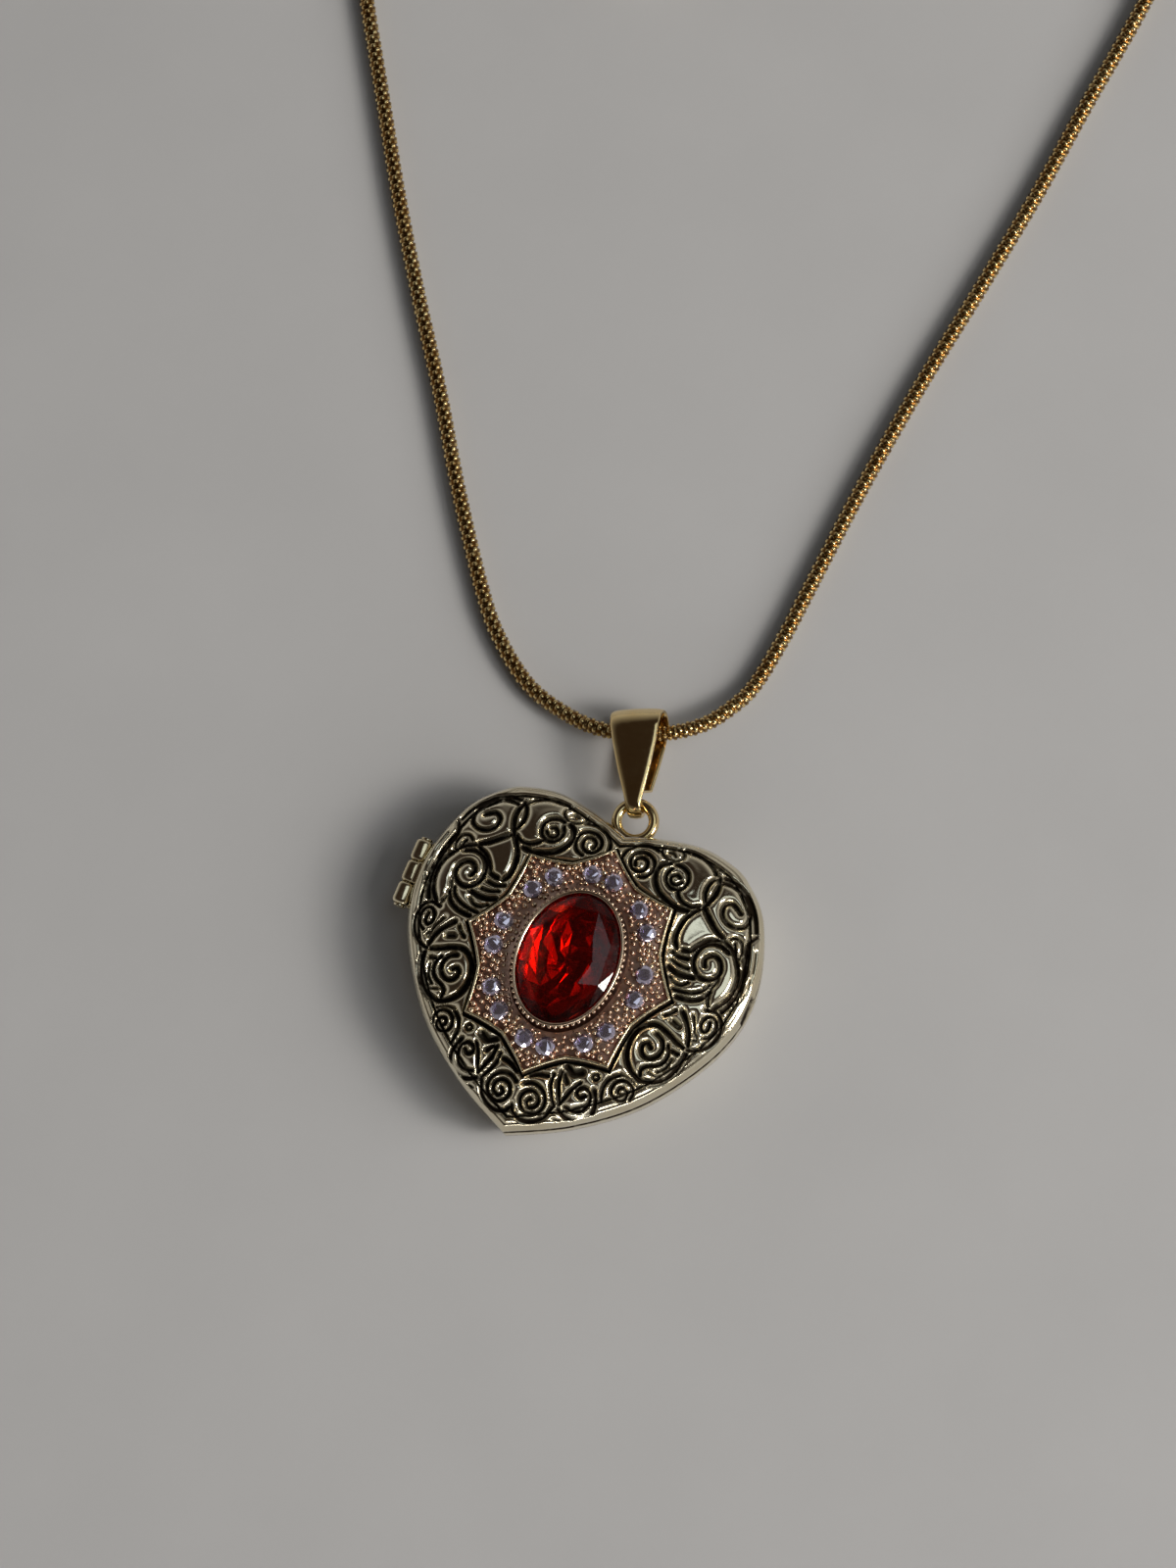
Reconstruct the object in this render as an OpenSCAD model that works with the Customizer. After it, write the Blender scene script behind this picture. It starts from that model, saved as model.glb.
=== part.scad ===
// Heart locket on a snake chain, lying flat: the locket's back face is the plane z = 0,
// +Y runs from the heart's tip to its cleft and the hinge is on the -X side.

/* [Locket] */
// Half of the heart's greatest width
heart_half_w = 14.2; // [13.8:0.1:14.6]
// Height of the seam between the two covers
seam_z = 3.0; // [3.0:0.05:3.2]
// Play between the rims of the closed covers
seam_gap = 0.05; // [0.03:0.01:0.08]
// Height of the flat ground under the star plate
ground_z = 6.2; // [6.1:0.05:6.4]
// Thickness of the heart-shaped photo frames
frame_t = 0.3; // [0.2:0.05:0.4]

/* [Hinge] */
// Radius of the hinge pin
pin_r = 0.3; // [0.25:0.01:0.32]
// Radial play between the pin and the knuckles
pin_play = 0.03; // [0.02:0.01:0.06]
// Outer radius of the knuckles
knuckle_r = 0.7; // [0.65:0.01:0.72]
// Length of one knuckle
knuckle_len = 1.78; // [1.6:0.02:1.8]

/* [Stones] */
// Half width of the oval centre stone
stone_a = 4.0; // [3.8:0.05:4.1]
// Half length of the oval centre stone
stone_b = 5.45; // [5.2:0.05:5.5]
// Radius of the small round stones
pave_r = 0.7; // [0.6:0.02:0.72]
// Thickness of the star plate that holds them
star_t = 0.55; // [0.5:0.05:0.6]

/* [Bail] */
// Distance from the hanging loop's wire to the centre of the bail's fold
bail_len = 6.0; // [5.8:0.05:6.2]
// Thickness of the bail's strap
strap_t = 0.4; // [0.35:0.01:0.42]
// Inner radius of the fold that the chain runs through
fold_r = 1.35; // [1.3:0.01:1.36]
// Inner radius of the hook around the hanging loop
hook_r = 0.75; // [0.72:0.01:0.78]

/* [Chain] */
// Diameter of the snake chain
chain_d = 1.3; // [1.2:0.05:1.3]
// Outer radius of the end caps
cap_r = 1.05; // [1.0:0.01:1.05]
// Length of an end cap
cap_len = 4.1; // [4.0:0.05:4.2]

/* [Clasp] */
// Overall thickness of the lobster clasp
clasp_t = 2.0; // [1.8:0.05:2.0]
// Thickness of its lever
lever_t = 0.8; // [0.7:0.05:0.85]
// Radius of the lever's rivet
rivet_r = 0.28; // [0.24:0.01:0.28]

/* [Hidden] */
PAVE = [for (i = [1:16]) str("pave_stone_", i < 10 ? "0" : "", i)];

gold = [0.86, 0.76, 0.50];
rose_gold = [0.84, 0.60, 0.42];
ruby = [0.45, 0.02, 0.02];
crystal = [0.88, 0.86, 0.94];

// ---- heart outline -------------------------------------------------------------------
heart_c = [0, -0.5];      // centre that the outline shrinks towards
heart_steps = 4;          // short sides between two of the outline's points
// right half, from the cleft to the tip, for a half width of 1
heart_half = [[0, 9.9], [2.6, 10.75], [5.8, 11.3], [8.4, 10.95], [10.4, 10.0], [12.75, 7.3],
              [14.2, 2.1], [13.3, -3.1], [9.6, -8.9], [4.9, -12.8], [0, -15.3]];
heart_k = heart_half_w / 14.2;
// the cleft and the tip are corners, so each half is its own open curve
function spline_at(p, i, t) =
  let (a = p[max(i - 1, 0)], b = p[i], c = p[i + 1], d = p[min(i + 2, len(p) - 1)])
  0.5 * (2 * b + (c - a) * t + (2 * a - 5 * b + 4 * c - d) * t * t
         + (3 * b - a - 3 * c + d) * t * t * t);
function smooth(p, n) = [for (i = [0:len(p) - 2], k = [0:n - 1]) spline_at(p, i, k / n)];
half_outline = smooth(heart_half, heart_steps);
outline = concat([for (p = half_outline) [-p[0], p[1]]], [[0, -15.3]],
  [for (i = [len(half_outline) - 1:-1:1]) half_outline[i]]);
function heart(s) = [for (p = outline) heart_c + s * heart_k * (p - heart_c)];

// ---- general shapes ------------------------------------------------------------------
// closed solid through rings of equal length, from the lowest ring up, each anticlockwise from above
module loft(rings) {
  n = len(rings[0]);
  m = len(rings);
  side = [for (j = [0:m - 2], i = [0:n - 1]) let (k = (i + 1) % n)
    each [[j * n + i, (j + 1) * n + i, j * n + k], [j * n + k, (j + 1) * n + i, (j + 1) * n + k]]];
  bottom = [[for (i = [0:n - 1]) i]];
  top = [[for (i = [n - 1:-1:0]) (m - 1) * n + i]];
  polyhedron(points = [for (r = rings) each r], faces = concat(bottom, side, top), convexity = 6);
}

// solid whose level k is the heart shrunk to levels[k][0] at height levels[k][1]
module heart_loft(levels) {
  loft([for (l = levels) [for (p = heart(l[0])) [p[0], p[1], l[1]]]]);
}

module oval_prism(a, b, h) {
  linear_extrude(height = h) polygon([for (i = [0:7.5:352.5]) [a * cos(i), b * sin(i)]]);
}

module torus(r_ring, r_wire) {
  rotate_extrude($fn = 64) translate([r_ring, 0]) circle(r = r_wire, $fn = 32);
}

// cylinder with its axis along Y, from y0 to y1
module bar_y(r, y0, y1) {
  translate([0, y1, 0]) rotate([90, 0, 0]) cylinder(r = r, h = y1 - y0, $fn = 48);
}

// ---- covers --------------------------------------------------------------------------
wall_s = 0.955;           // inner face of the walls, as a share of the outline
rim_z = seam_z + 1.0;     // top of the front cover's straight rim
dome_h = ground_z - rim_z;
front_z0 = seam_z + seam_gap;
function dome(s) = rim_z + dome_h * pow(1 - pow(s, 4), 0.6);
dome_steps = [1, 0.985, 0.95, 0.88, 0.78, 0.64, 0.42, 0.15];
cover_t = 0.55;           // thickness of the front cover's dome
inner_steps = [1, 0.98, 0.93, 0.84, 0.68, 0.45, 0.15];

star_tip = [8.6, 9.6];     // half width and half height to the star's eight tips
star_notch = [7.1, 7.95];  // and to the notches between them
star_y = -1.3;            // centre of the star along Y
function star_points(grow) = [for (i = [0:15]) let (r = i % 2 == 0 ? star_tip : star_notch)
  [(r[0] + grow) * sin(22.5 * i), star_y + (r[1] + grow) * cos(22.5 * i)]];

hinge_x = -14.75;         // hinge axis, parallel to Y through the seam
hinge_z = seam_z + seam_gap / 2;
hinge_y0 = -1.5;          // lower end of the hinge
knuckle_gap = 0.06;       // play between two knuckles along the pin
pocket_r = knuckle_r + 0.1;
hinge_len = 3 * knuckle_len + 2 * knuckle_gap;

catch_y = 1.3;            // middle of the catch
notch_y = 0.5;            // middle of the thumb notch
notch_r = 0.6;
notch_x = heart_half_w + 0.25;

// what the hinge and the thumb take out of both rims
module rim_cuts() {
  translate([hinge_x, 0, hinge_z]) bar_y(pocket_r, hinge_y0 - 0.2, hinge_y0 + hinge_len + 0.2);
  translate([notch_x, 0, hinge_z]) bar_y(notch_r, notch_y - 1.1, notch_y + 1.1);
}

module back_cover() {
  color(gold) difference() {
    heart_loft([[0.80, 0], [0.88, 0.12], [0.94, 0.45], [0.98, 1.0], [1, 1.6], [1, seam_z]]);
    heart_loft([[0.74, 0.6], [0.86, 0.8], [0.92, 1.2], [wall_s, 1.7], [wall_s, seam_z + 1]]);
    rim_cuts();
  }
}

module front_cover() {
  inner_h = dome_h - cover_t + 0.1;
  color(gold) difference() {
    union() {
      heart_loft(concat([[1, front_z0]], [for (s = dome_steps) [s, dome(s)]]));
      translate([0, 0, rim_z]) linear_extrude(height = dome_h) polygon(star_points(0));
    }
    heart_loft(concat([[wall_s, front_z0 - 1]],
      [for (s = inner_steps) [wall_s * s, rim_z - 0.1 + inner_h * pow(1 - pow(s, 4), 0.6)]]));
    rim_cuts();
  }
}

// ---- hinge ---------------------------------------------------------------------------
leaf_in = -13.7;          // how far the soldered leaves reach over the rim
// knuckle number i from below; side is -1 below the seam and 1 above it
module knuckle(i, side) {
  y0 = hinge_y0 + i * (knuckle_len + knuckle_gap);
  leaf_h = 0.75;
  color(gold) difference() {
    union() {
      translate([hinge_x, 0, hinge_z]) bar_y(knuckle_r, y0, y0 + knuckle_len);
      translate([hinge_x, y0, hinge_z + (side > 0 ? 0.2 : -0.2 - leaf_h)])
        cube([leaf_in - hinge_x, knuckle_len, leaf_h]);
    }
    translate([hinge_x, 0, hinge_z]) bar_y(pin_r + pin_play, y0 - 1, y0 + knuckle_len + 1);
  }
}

module hinge_pin() {
  head_r = pin_r + 0.2;
  head_t = 0.2;
  color(gold) translate([hinge_x, 0, hinge_z]) {
    bar_y(pin_r, hinge_y0 - 0.05, hinge_y0 + hinge_len + 0.05);
    bar_y(head_r, hinge_y0 - 0.05 - head_t, hinge_y0 - 0.05);
    bar_y(head_r, hinge_y0 + hinge_len + 0.05, hinge_y0 + hinge_len + 0.05 + head_t);
  }
}

// ---- catch and photo frames ----------------------------------------------------------
module catch_tongue() {
  wall_x = heart_half_w * wall_s;
  blade_t = 0.3;
  bump_r = 0.18;
  color(gold) {
    translate([wall_x - 0.55, catch_y - 1.2, seam_z - 1.2]) cube([0.6, 2.4, 1.1]);
    translate([wall_x - 0.55, catch_y - 1.2, seam_z - 0.2]) cube([blade_t, 2.4, 1.1]);
    translate([wall_x - 0.28, 0, seam_z + 0.6]) bar_y(bump_r, catch_y - 0.8, catch_y + 0.8);
  }
}

window_s = 0.74;          // opening of the photo frames, as a share of the outline
module photo_frame(z0) {
  color(gold) translate([0, 0, z0]) linear_extrude(height = frame_t) difference() {
    polygon(heart(wall_s));
    polygon(heart(window_s));
    translate([heart_half_w * wall_s - 0.7, catch_y - 1.4]) square([2, 2.8]);
    translate([-1.2, 9.1]) square([2.4, 2]);
  }
}

// ---- star plate, bezel and stones ----------------------------------------------------
star_z = ground_z;
star_top = star_z + star_t;
bezel_t = 0.42;
bezel_play = 0.03;
bezel_h = 1.05;
girdle_z = star_top + 0.45;
pave_oval = [6.0, 7.05]; // half axes of the oval that the small stones stand on
pave_turn = 8.5;          // half of the angle between the two stones of a pair
function pave_xy(i) =
  let (lobe = floor(i / 2), a = 45 * lobe + (i % 2 == 0 ? -pave_turn : pave_turn))
  [pave_oval[0] * sin(a), star_y + pave_oval[1] * cos(a)];

module star_plate() {
  seat_r = pave_r - 0.02;
  color(rose_gold) translate([0, 0, star_z]) difference() {
    linear_extrude(height = star_t) polygon(star_points(-0.1));
    translate([0, star_y, -1]) oval_prism(stone_a - 0.55, stone_b - 0.55, star_t + 2);
    for (i = [0:15]) {
      translate([pave_xy(i)[0], pave_xy(i)[1], -1]) cylinder(r = seat_r, h = star_t + 2, $fn = 32);
    }
  }
}

module bezel() {
  inner_a = stone_a + bezel_play;
  inner_b = stone_b + bezel_play;
  color(gold) translate([0, star_y, star_top]) difference() {
    oval_prism(inner_a + bezel_t, inner_b + bezel_t, bezel_h);
    translate([0, 0, -1]) oval_prism(inner_a, inner_b, bezel_h + 2);
  }
}

// faceted stone: levels are [share of the girdle, height above the girdle]
module gem(a, b, sides, levels) {
  loft([for (l = levels) [for (i = [0:sides - 1])
    [a * l[0] * cos(i * 360 / sides), b * l[0] * sin(i * 360 / sides), l[1]]]]);
}

module centre_stone() {
  color(ruby) translate([0, star_y, girdle_z])
    gem(stone_a, stone_b, 24, [[0.42, -0.95], [0.78, -0.42], [1, -0.1], [1, 0.02], [0.84, 0.62], [0.62, 1.05]]);
}

module pave_stone(i) {
  color(crystal) translate([pave_xy(i)[0], pave_xy(i)[1], star_top + 0.08])
    gem(pave_r, pave_r, 8, [[0.2, -0.45], [0.9, -0.12], [1, 0], [0.6, 0.24]]);
}

// ---- hanging loop and bail -----------------------------------------------------------
loop_r = 1.48;            // centre line of the hanging loop
loop_wire = 0.43;
loop_pos = [0, 11.65, 2.5];

module hanging_loop() {
  color(gold) {
    translate(loop_pos) torus(loop_r, loop_wire);
    translate([-0.6, 9.75, loop_pos[2] - 0.35]) cube([1.2, 0.6, 0.7]);
  }
}

bail_turn = 20;           // direction of the bail, turned from +Y towards -X
bail_drop = 3.2;          // how far it tips down to rest on its fold
bail_roll = 11;           // how far it lies rolled onto one edge
// half of the strap's width at a distance along the bail
bail_width = [[-1.3, 0.56], [-0.3, 0.62], [0.7, 0.86], [2.8, 1.38], [4.9, 1.82], [6.9, 2.1], [8.2, 2.18]];

// two cylinders across the bail, one at each end, joined by their outer tangents
module tangent_solid(fold_out, hook_out, width) {
  lean = asin((fold_out - hook_out) / bail_len);
  up = [-sin(lean), cos(lean)];
  down = [-sin(lean), -cos(lean)];
  fold = [bail_len, 0];
  translate([0, width / 2, 0]) rotate([90, 0, 0]) {
    cylinder(r = hook_out, h = width, $fn = 96);
    translate(fold) cylinder(r = fold_out, h = width, $fn = 96);
    linear_extrude(height = width)
      polygon([hook_out * up, fold + fold_out * up, fold + fold_out * down, hook_out * down]);
  }
}

// folded strap along +X from the loop's wire; the back leaf ends short of the hook
module bail_strap() {
  right = [for (p = bail_width) [p[0], -p[1]]];
  left = [for (i = [len(bail_width) - 1:-1:0]) bail_width[i]];
  gap = [0.3, 1.3];     // from the hook's end to the back leaf's end
  difference() {
    intersection() {
      tangent_solid(fold_r + strap_t, hook_r + strap_t, 5);
      translate([0, 0, -4]) linear_extrude(height = 8) polygon(concat(right, left));
    }
    tangent_solid(fold_r, hook_r, 6);
    translate([gap[0], -3, -2]) cube([gap[1] - gap[0], 6, 1.7]);
  }
}

module bail() {
  wire = loop_pos + loop_r * [-sin(bail_turn), cos(bail_turn), 0];
  color(gold) translate(wire) rotate([0, 0, 90 + bail_turn]) rotate([0, bail_drop, 0])
    rotate([-bail_roll, 0, 0]) bail_strap();
}

// ---- chain ---------------------------------------------------------------------------
lie = chain_d / 2;        // height of the chain's centre line where it lies flat
cap_z = cap_r + 0.01;
// centre line from the ring end through the bail to the coil
route = [[12.9, 98.5, cap_z], [12.9, 95.5, cap_z], [12.6, 91.6, 0.75], [12.05, 87, lie],
  [11.4, 82, lie], [10.4, 73, lie], [9, 63.5, lie], [7.5, 54, lie], [6.3, 44.3, lie],
  [5.5, 35.1, lie], [5.1, 30.5, lie], [4.45, 26.1, 0.7], [3.6, 23.8, 1.0], [2.1, 21.4, 1.55],
  [-0.1, 19.6, 1.95], [-2.55, 18.6, 1.9], [-5.3, 17.9, 1.55], [-8.6, 18.1, 1.1],
  [-12.5, 19.3, 0.75], [-16.3, 22.1, lie], [-19.3, 25.5, lie], [-24.3, 32.5, lie],
  [-29, 39.7, lie], [-34, 46.9, lie], [-38.9, 54.3, lie], [-43.6, 61.9, lie], [-48.3, 69.5, lie],
  [-50.9, 74.2, lie], [-51.6, 78.2, lie], [-50, 82, lie], [-46, 85.6, 0.8], [-39.7, 91.6, 0.9]];
// from the top of the coil down to the clasp's end cap
tail = [[-29, 96, 3.4], [-24.5, 96, 2.3], [-20.5, 96, 1.2], [-15.6, 96, cap_z]];
coil_pos = [-32, 88, 0];
coil_out = 8.0;           // centre line of the outer turns
coil_in = 6.7;            // centre line of the inner turns
coil_rows = 3;            // turns on top of each other
tie_t = 0.25;

function unit(v) = v / norm(v);
// ring of a tube's skin around point i of a line
function tube_ring(p, i, r) =
  let (d = unit(p[min(i + 1, len(p) - 1)] - p[max(i - 1, 0)]),
       s = unit(cross([0, 0, 1], d)), u = cross(d, s))
  [for (a = [0:45:315]) p[i] + r * (cos(a) * s + sin(a) * u)];

module tube(points) {
  line = concat(smooth(points, 2), [points[len(points) - 1]]);
  loft([for (i = [0:len(line) - 1]) tube_ring(line, i, lie)]);
}

module snake_chain() {
  color(rose_gold) tube(route);
}

module chain_tail() {
  color(rose_gold) tube(tail);
}

module chain_coil() {
  color(rose_gold) translate(coil_pos) rotate_extrude($fn = 96)
    translate([coil_in - lie, tie_t]) square([coil_out - coil_in + chain_d, coil_rows * chain_d]);
}

module coil_tie(angle) {
  w = coil_out - coil_in + chain_d;
  h = coil_rows * chain_d;
  color("white") translate(coil_pos) rotate([0, 0, angle]) rotate_extrude(angle = 8, $fn = 96)
    translate([coil_in - lie, tie_t]) difference() {
      translate([-tie_t, -tie_t]) square([w + 2 * tie_t, h + 2 * tie_t]);
      square([w, h]);
    }
}

// ---- chain ends ----------------------------------------------------------------------
end_loop_r = 0.85;        // centre line of the loops on the end caps
end_loop_wire = 0.25;
bore_r = lie + 0.07;
bore_depth = 3.0;
clasp_cap_x = -18.5;      // mouth of the clasp's end cap
clasp_y = 96;
ring_cap = [12.9, 95.5];  // mouth of the ring's end cap, which points along +Y
loop_reach = cap_len + 0.95;

// end cap with its mouth at the origin and its loop along +X; flat lays the loop down
module end_cap(flat) {
  color(gold) {
    difference() {
      rotate([0, 90, 0]) cylinder(r = cap_r, h = cap_len, $fn = 64);
      translate([-1, 0, 0]) rotate([0, 90, 0]) cylinder(r = bore_r, h = bore_depth + 1, $fn = 48);
    }
    translate([loop_reach, 0, 0]) rotate([flat ? 0 : 90, 0, 0]) difference() {
      torus(end_loop_r, end_loop_wire);
      cylinder(r = end_loop_r - end_loop_wire + 0.04, h = 2, center = true, $fn = 64);
    }
  }
}

module end_cap_clasp() {
  translate([clasp_cap_x, clasp_y, cap_z]) end_cap(true);
}

module end_cap_ring() {
  translate([ring_cap[0], ring_cap[1], cap_z]) rotate([0, 0, 90]) end_cap(false);
}

jump_r = 1.25;            // centre line of the jump ring that stands between the loops
jump_wire = 0.25;
jump_z = jump_r + jump_wire;
jump_reach = sqrt(jump_r * jump_r - (jump_z - cap_z) * (jump_z - cap_z));
jump_x = clasp_cap_x + loop_reach + jump_reach;
eye_x = jump_x + jump_reach;

module jump_ring() {
  color(gold) translate([jump_x, clasp_y, jump_z]) rotate([90, 0, 0]) torus(jump_r, jump_wire);
}

closing_r = 2.0;          // centre line of the ring that the clasp hooks into
closing_wire = 0.3;
closing_tilt = 10.5;
module closing_ring() {
  color(gold) translate([ring_cap[0], ring_cap[1] + loop_reach, cap_z]) rotate([0, 0, 90])
    rotate([0, closing_tilt, 0]) translate([closing_r, 0, 0]) torus(closing_r, closing_wire);
}

// ---- lobster clasp: the eye's hole is the origin, the claw points along +X ---------------
claw_x = 6.6;
claw_out = 2.7;
claw_in = 1.55;
pivot = [3.9, -0.9];
slot_h = lever_t + 0.2;

module at_clasp() {
  translate([eye_x, clasp_y, cap_z]) children();
}

// keeps the claw's ring from its tip round to the body
module claw_sector() {
  polygon(concat([[0, 0]], [for (a = [-50:25:200]) 5 * [cos(a), sin(a)]]));
}

module clasp_body() {
  eye_out = 1.15;
  eye_in = 0.6;
  eye_t = 0.8;
  color(gold) at_clasp() difference() {
    union() {
      translate([0, 0, -eye_t / 2]) cylinder(r = eye_out, h = eye_t, $fn = 48);
      translate([0.7, -0.7, -0.55]) cube([1.8, 1.4, 1.1]);
      translate([2.2, -1.6, -clasp_t / 2]) cube([2.8, 3.2, clasp_t]);
      translate([claw_x, 0, -clasp_t / 2]) linear_extrude(height = clasp_t) intersection() {
        circle(r = claw_out, $fn = 96);
        claw_sector();
      }
    }
    translate([0, 0, -2]) cylinder(r = eye_in, h = 4, $fn = 48);
    translate([claw_x, 0, -2]) cylinder(r = claw_in, h = 4, $fn = 96);
    translate([2.6, -3, -slot_h / 2]) cube([2.9, 3.7, slot_h]);
    translate([pivot[0], pivot[1], -2]) cylinder(r = rivet_r + 0.01, h = 4, $fn = 48);
  }
}

module clasp_lever() {
  boss_r = 0.75;
  color(gold) at_clasp() translate([0, 0, -lever_t / 2]) difference() {
    union() {
      translate([pivot[0], pivot[1], 0]) cylinder(r = boss_r, h = lever_t, $fn = 48);
      linear_extrude(height = lever_t)
        polygon([[3.7, -1.6], [3.1, -2.0], [3.3, -2.4], [4.3, -1.9], [7.2, -1.5], [7.35, -0.85], [4.2, -0.3]]);
    }
    translate([pivot[0], pivot[1], -1]) cylinder(r = rivet_r + pin_play, h = 3, $fn = 48);
  }
}

module clasp_rivet() {
  color(gold) at_clasp() translate([pivot[0], pivot[1], -clasp_t / 2])
    cylinder(r = rivet_r, h = clasp_t, $fn = 48);
}

module clasp_spring() {
  color("silver") at_clasp() translate([2.65, -1.2, -0.3]) cube([0.25, 1.5, 0.6]);
}

back_cover();
front_cover();
knuckle(2, -1);  // hinge_knuckle_upper
knuckle(0, -1);  // hinge_knuckle_lower
knuckle(1, 1);  // hinge_knuckle_middle
hinge_pin();
catch_tongue();
photo_frame(seam_z - 0.1 - frame_t);  // photo_frame_back
photo_frame(front_z0 + 0.1);  // photo_frame_front
star_plate();
bezel();
centre_stone();
hanging_loop();
bail();
snake_chain();
chain_coil();
chain_tail();
coil_tie(-60);  // coil_tie_1
coil_tie(190);  // coil_tie_2
end_cap_clasp();
end_cap_ring();
jump_ring();
clasp_body();
clasp_lever();
clasp_rivet();
clasp_spring();
closing_ring();
for (i = [0:15]) {
  pave_stone(i);
}
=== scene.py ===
import math

import bmesh
import bpy
import numpy as np
from mathutils import Matrix, Vector


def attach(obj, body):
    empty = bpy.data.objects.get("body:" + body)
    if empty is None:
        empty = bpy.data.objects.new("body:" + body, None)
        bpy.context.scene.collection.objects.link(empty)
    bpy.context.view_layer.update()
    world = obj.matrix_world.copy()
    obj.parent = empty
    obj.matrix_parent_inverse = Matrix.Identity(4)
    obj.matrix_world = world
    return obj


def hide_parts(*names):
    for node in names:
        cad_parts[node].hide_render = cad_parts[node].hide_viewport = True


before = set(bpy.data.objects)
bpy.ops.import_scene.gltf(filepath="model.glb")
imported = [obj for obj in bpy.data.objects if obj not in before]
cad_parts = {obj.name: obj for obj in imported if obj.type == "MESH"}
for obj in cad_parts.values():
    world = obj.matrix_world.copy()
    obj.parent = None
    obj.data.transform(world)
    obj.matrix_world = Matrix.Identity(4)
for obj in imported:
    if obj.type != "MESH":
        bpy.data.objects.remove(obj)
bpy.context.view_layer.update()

rng = np.random.default_rng(7)
DEG = math.pi / 180
COL = bpy.context.scene.collection


# ---- camera: above the locket, tipped and turned the way the necklace is looked at -------
def unit(v):
    v = np.asarray(v, float)
    return v / np.linalg.norm(v)


tilt, toward, roll = 14.57 * DEG, -51.5 * DEG, 22.44 * DEG
reach = 330.0  # mm from the locket's middle to the camera
locket_middle = np.array([0, 0, 3.5])
# the locket sits a little left of the middle and below it, by these shares of reach
aim_right, aim_up = 0.0023, 0.0402
back = np.array([math.sin(tilt) * math.cos(toward), math.sin(tilt) * math.sin(toward), math.cos(tilt)])
up = np.array([-math.sin(roll), math.cos(roll), 0.0])
up = unit(up - back * up.dot(back))
right = np.cross(up, back)
eye = locket_middle + reach * (back + aim_right * right + aim_up * up)
cam_data = bpy.data.cameras.new("camera")
cam_data.sensor_width = 36
cam_data.lens = 96.5
cam_data.clip_start = 0.02
cam_data.clip_end = 10
cam = bpy.data.objects.new("camera", cam_data)
cam.matrix_world = Matrix([*zip(right, up, back, eye / 1000), (0, 0, 0, 1)])
COL.objects.link(cam)
bpy.context.scene.camera = cam


# ---- mesh helpers, all in millimetres ------------------------------------------------------
def spline(points, n):
    """Smooth line through the points, with n steps from each to the next."""
    p = np.asarray(points, float)
    q = np.vstack([p[:1], p, p[-1:]])
    t = np.linspace(0, 1, n, endpoint=False)[:, None]
    out = []
    for i in range(len(p) - 1):
        a, b, c, d = q[i : i + 4]
        out.append(
            0.5 * (2 * b + (c - a) * t + (2 * a - 5 * b + 4 * c - d) * t**2 + (3 * b - a - 3 * c + d) * t**3)
        )
    return np.vstack(out + [p[-1:]])


def shell(P, ends="fan", poles=None):
    """Closed skin through the rings of P; ends close with a fan each, or the last ring meets the first."""
    P = np.asarray(P, float)
    m, n = P.shape[:2]
    j, i = np.meshgrid(np.arange(m if ends == "loop" else m - 1), np.arange(n), indexing="ij")
    k = (i + 1) % n
    j2 = (j + 1) % m
    quads = np.stack([j * n + i, j * n + k, j2 * n + k, j2 * n + i], -1).reshape(-1, 4)
    V = P.reshape(-1, 3)
    tris = np.zeros((0, 3), int)
    if ends == "fan":
        poles = poles or (P[0].mean(0), P[-1].mean(0))
        V = np.vstack([V, poles[0], poles[1]])
        r = np.arange(n)
        r2 = (r + 1) % n
        tris = np.vstack(
            [
                np.stack([np.full(n, m * n), r2, r], -1),
                np.stack([np.full(n, m * n + 1), (m - 1) * n + r, (m - 1) * n + r2], -1),
            ]
        )
    T = np.vstack([quads[:, [0, 1, 2]], quads[:, [0, 2, 3]], tris])
    volume = np.einsum("ij,ij->", V[T[:, 0]], np.cross(V[T[:, 1]], V[T[:, 2]]))
    if volume < 0:
        quads = quads[:, ::-1]
        tris = tris[:, ::-1]
    return V, quads, tris


def merge(parts):
    """Several skins as one list of vertices, quads and triangles."""
    V, Q, T, n = [], [], [], 0
    for v, q, t in parts:
        V.append(v)
        Q.append(q + n)
        T.append(t + n)
        n += len(v)
    return np.vstack(V), np.vstack(Q), np.vstack(T)


def piece(name, part, body, nodes, mat, sharp=40, attrs=None, flat=False):
    """Object from one skin or several, riding on a body in place of the named nodes."""
    V, Q, T = part if isinstance(part, tuple) else merge(part)
    me = bpy.data.meshes.new(name)
    me.from_pydata((V / 1000).tolist(), [], Q.tolist() + T.tolist())
    me.polygons.foreach_set("use_smooth", [not flat] * len(me.polygons))
    if not flat and sharp:
        me.set_sharp_from_angle(angle=sharp * DEG)
    for key, values in (attrs or {}).items():
        me.attributes.new(key, "FLOAT", "POINT").data.foreach_set("value", values)
    me.materials.append(mat)
    me.validate()
    me.update()
    o = bpy.data.objects.new(name, me)
    COL.objects.link(o)
    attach(o, body)
    if nodes:
        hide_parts(*nodes)
    return o


def circle(n, start=0.0):
    """Cosines and sines of n even steps round a circle."""
    a = start + np.arange(n) * 2 * math.pi / n
    return np.cos(a), np.sin(a)


def ball(c, r, n=10, m=5, stretch=1.0):
    """Bead of radius r about c, stretched along Z."""
    x, y = circle(n)
    rings = []
    for lat in np.linspace(-62, 62, m) * DEG:
        wide = r * math.cos(lat)
        rings.append(np.stack([x * wide, y * wide, np.full(n, r * stretch * math.sin(lat))], -1))
    P = np.array(rings) + c
    top = np.array([0, 0, r * stretch])
    return shell(P, poles=(c - top, c + top))


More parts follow.
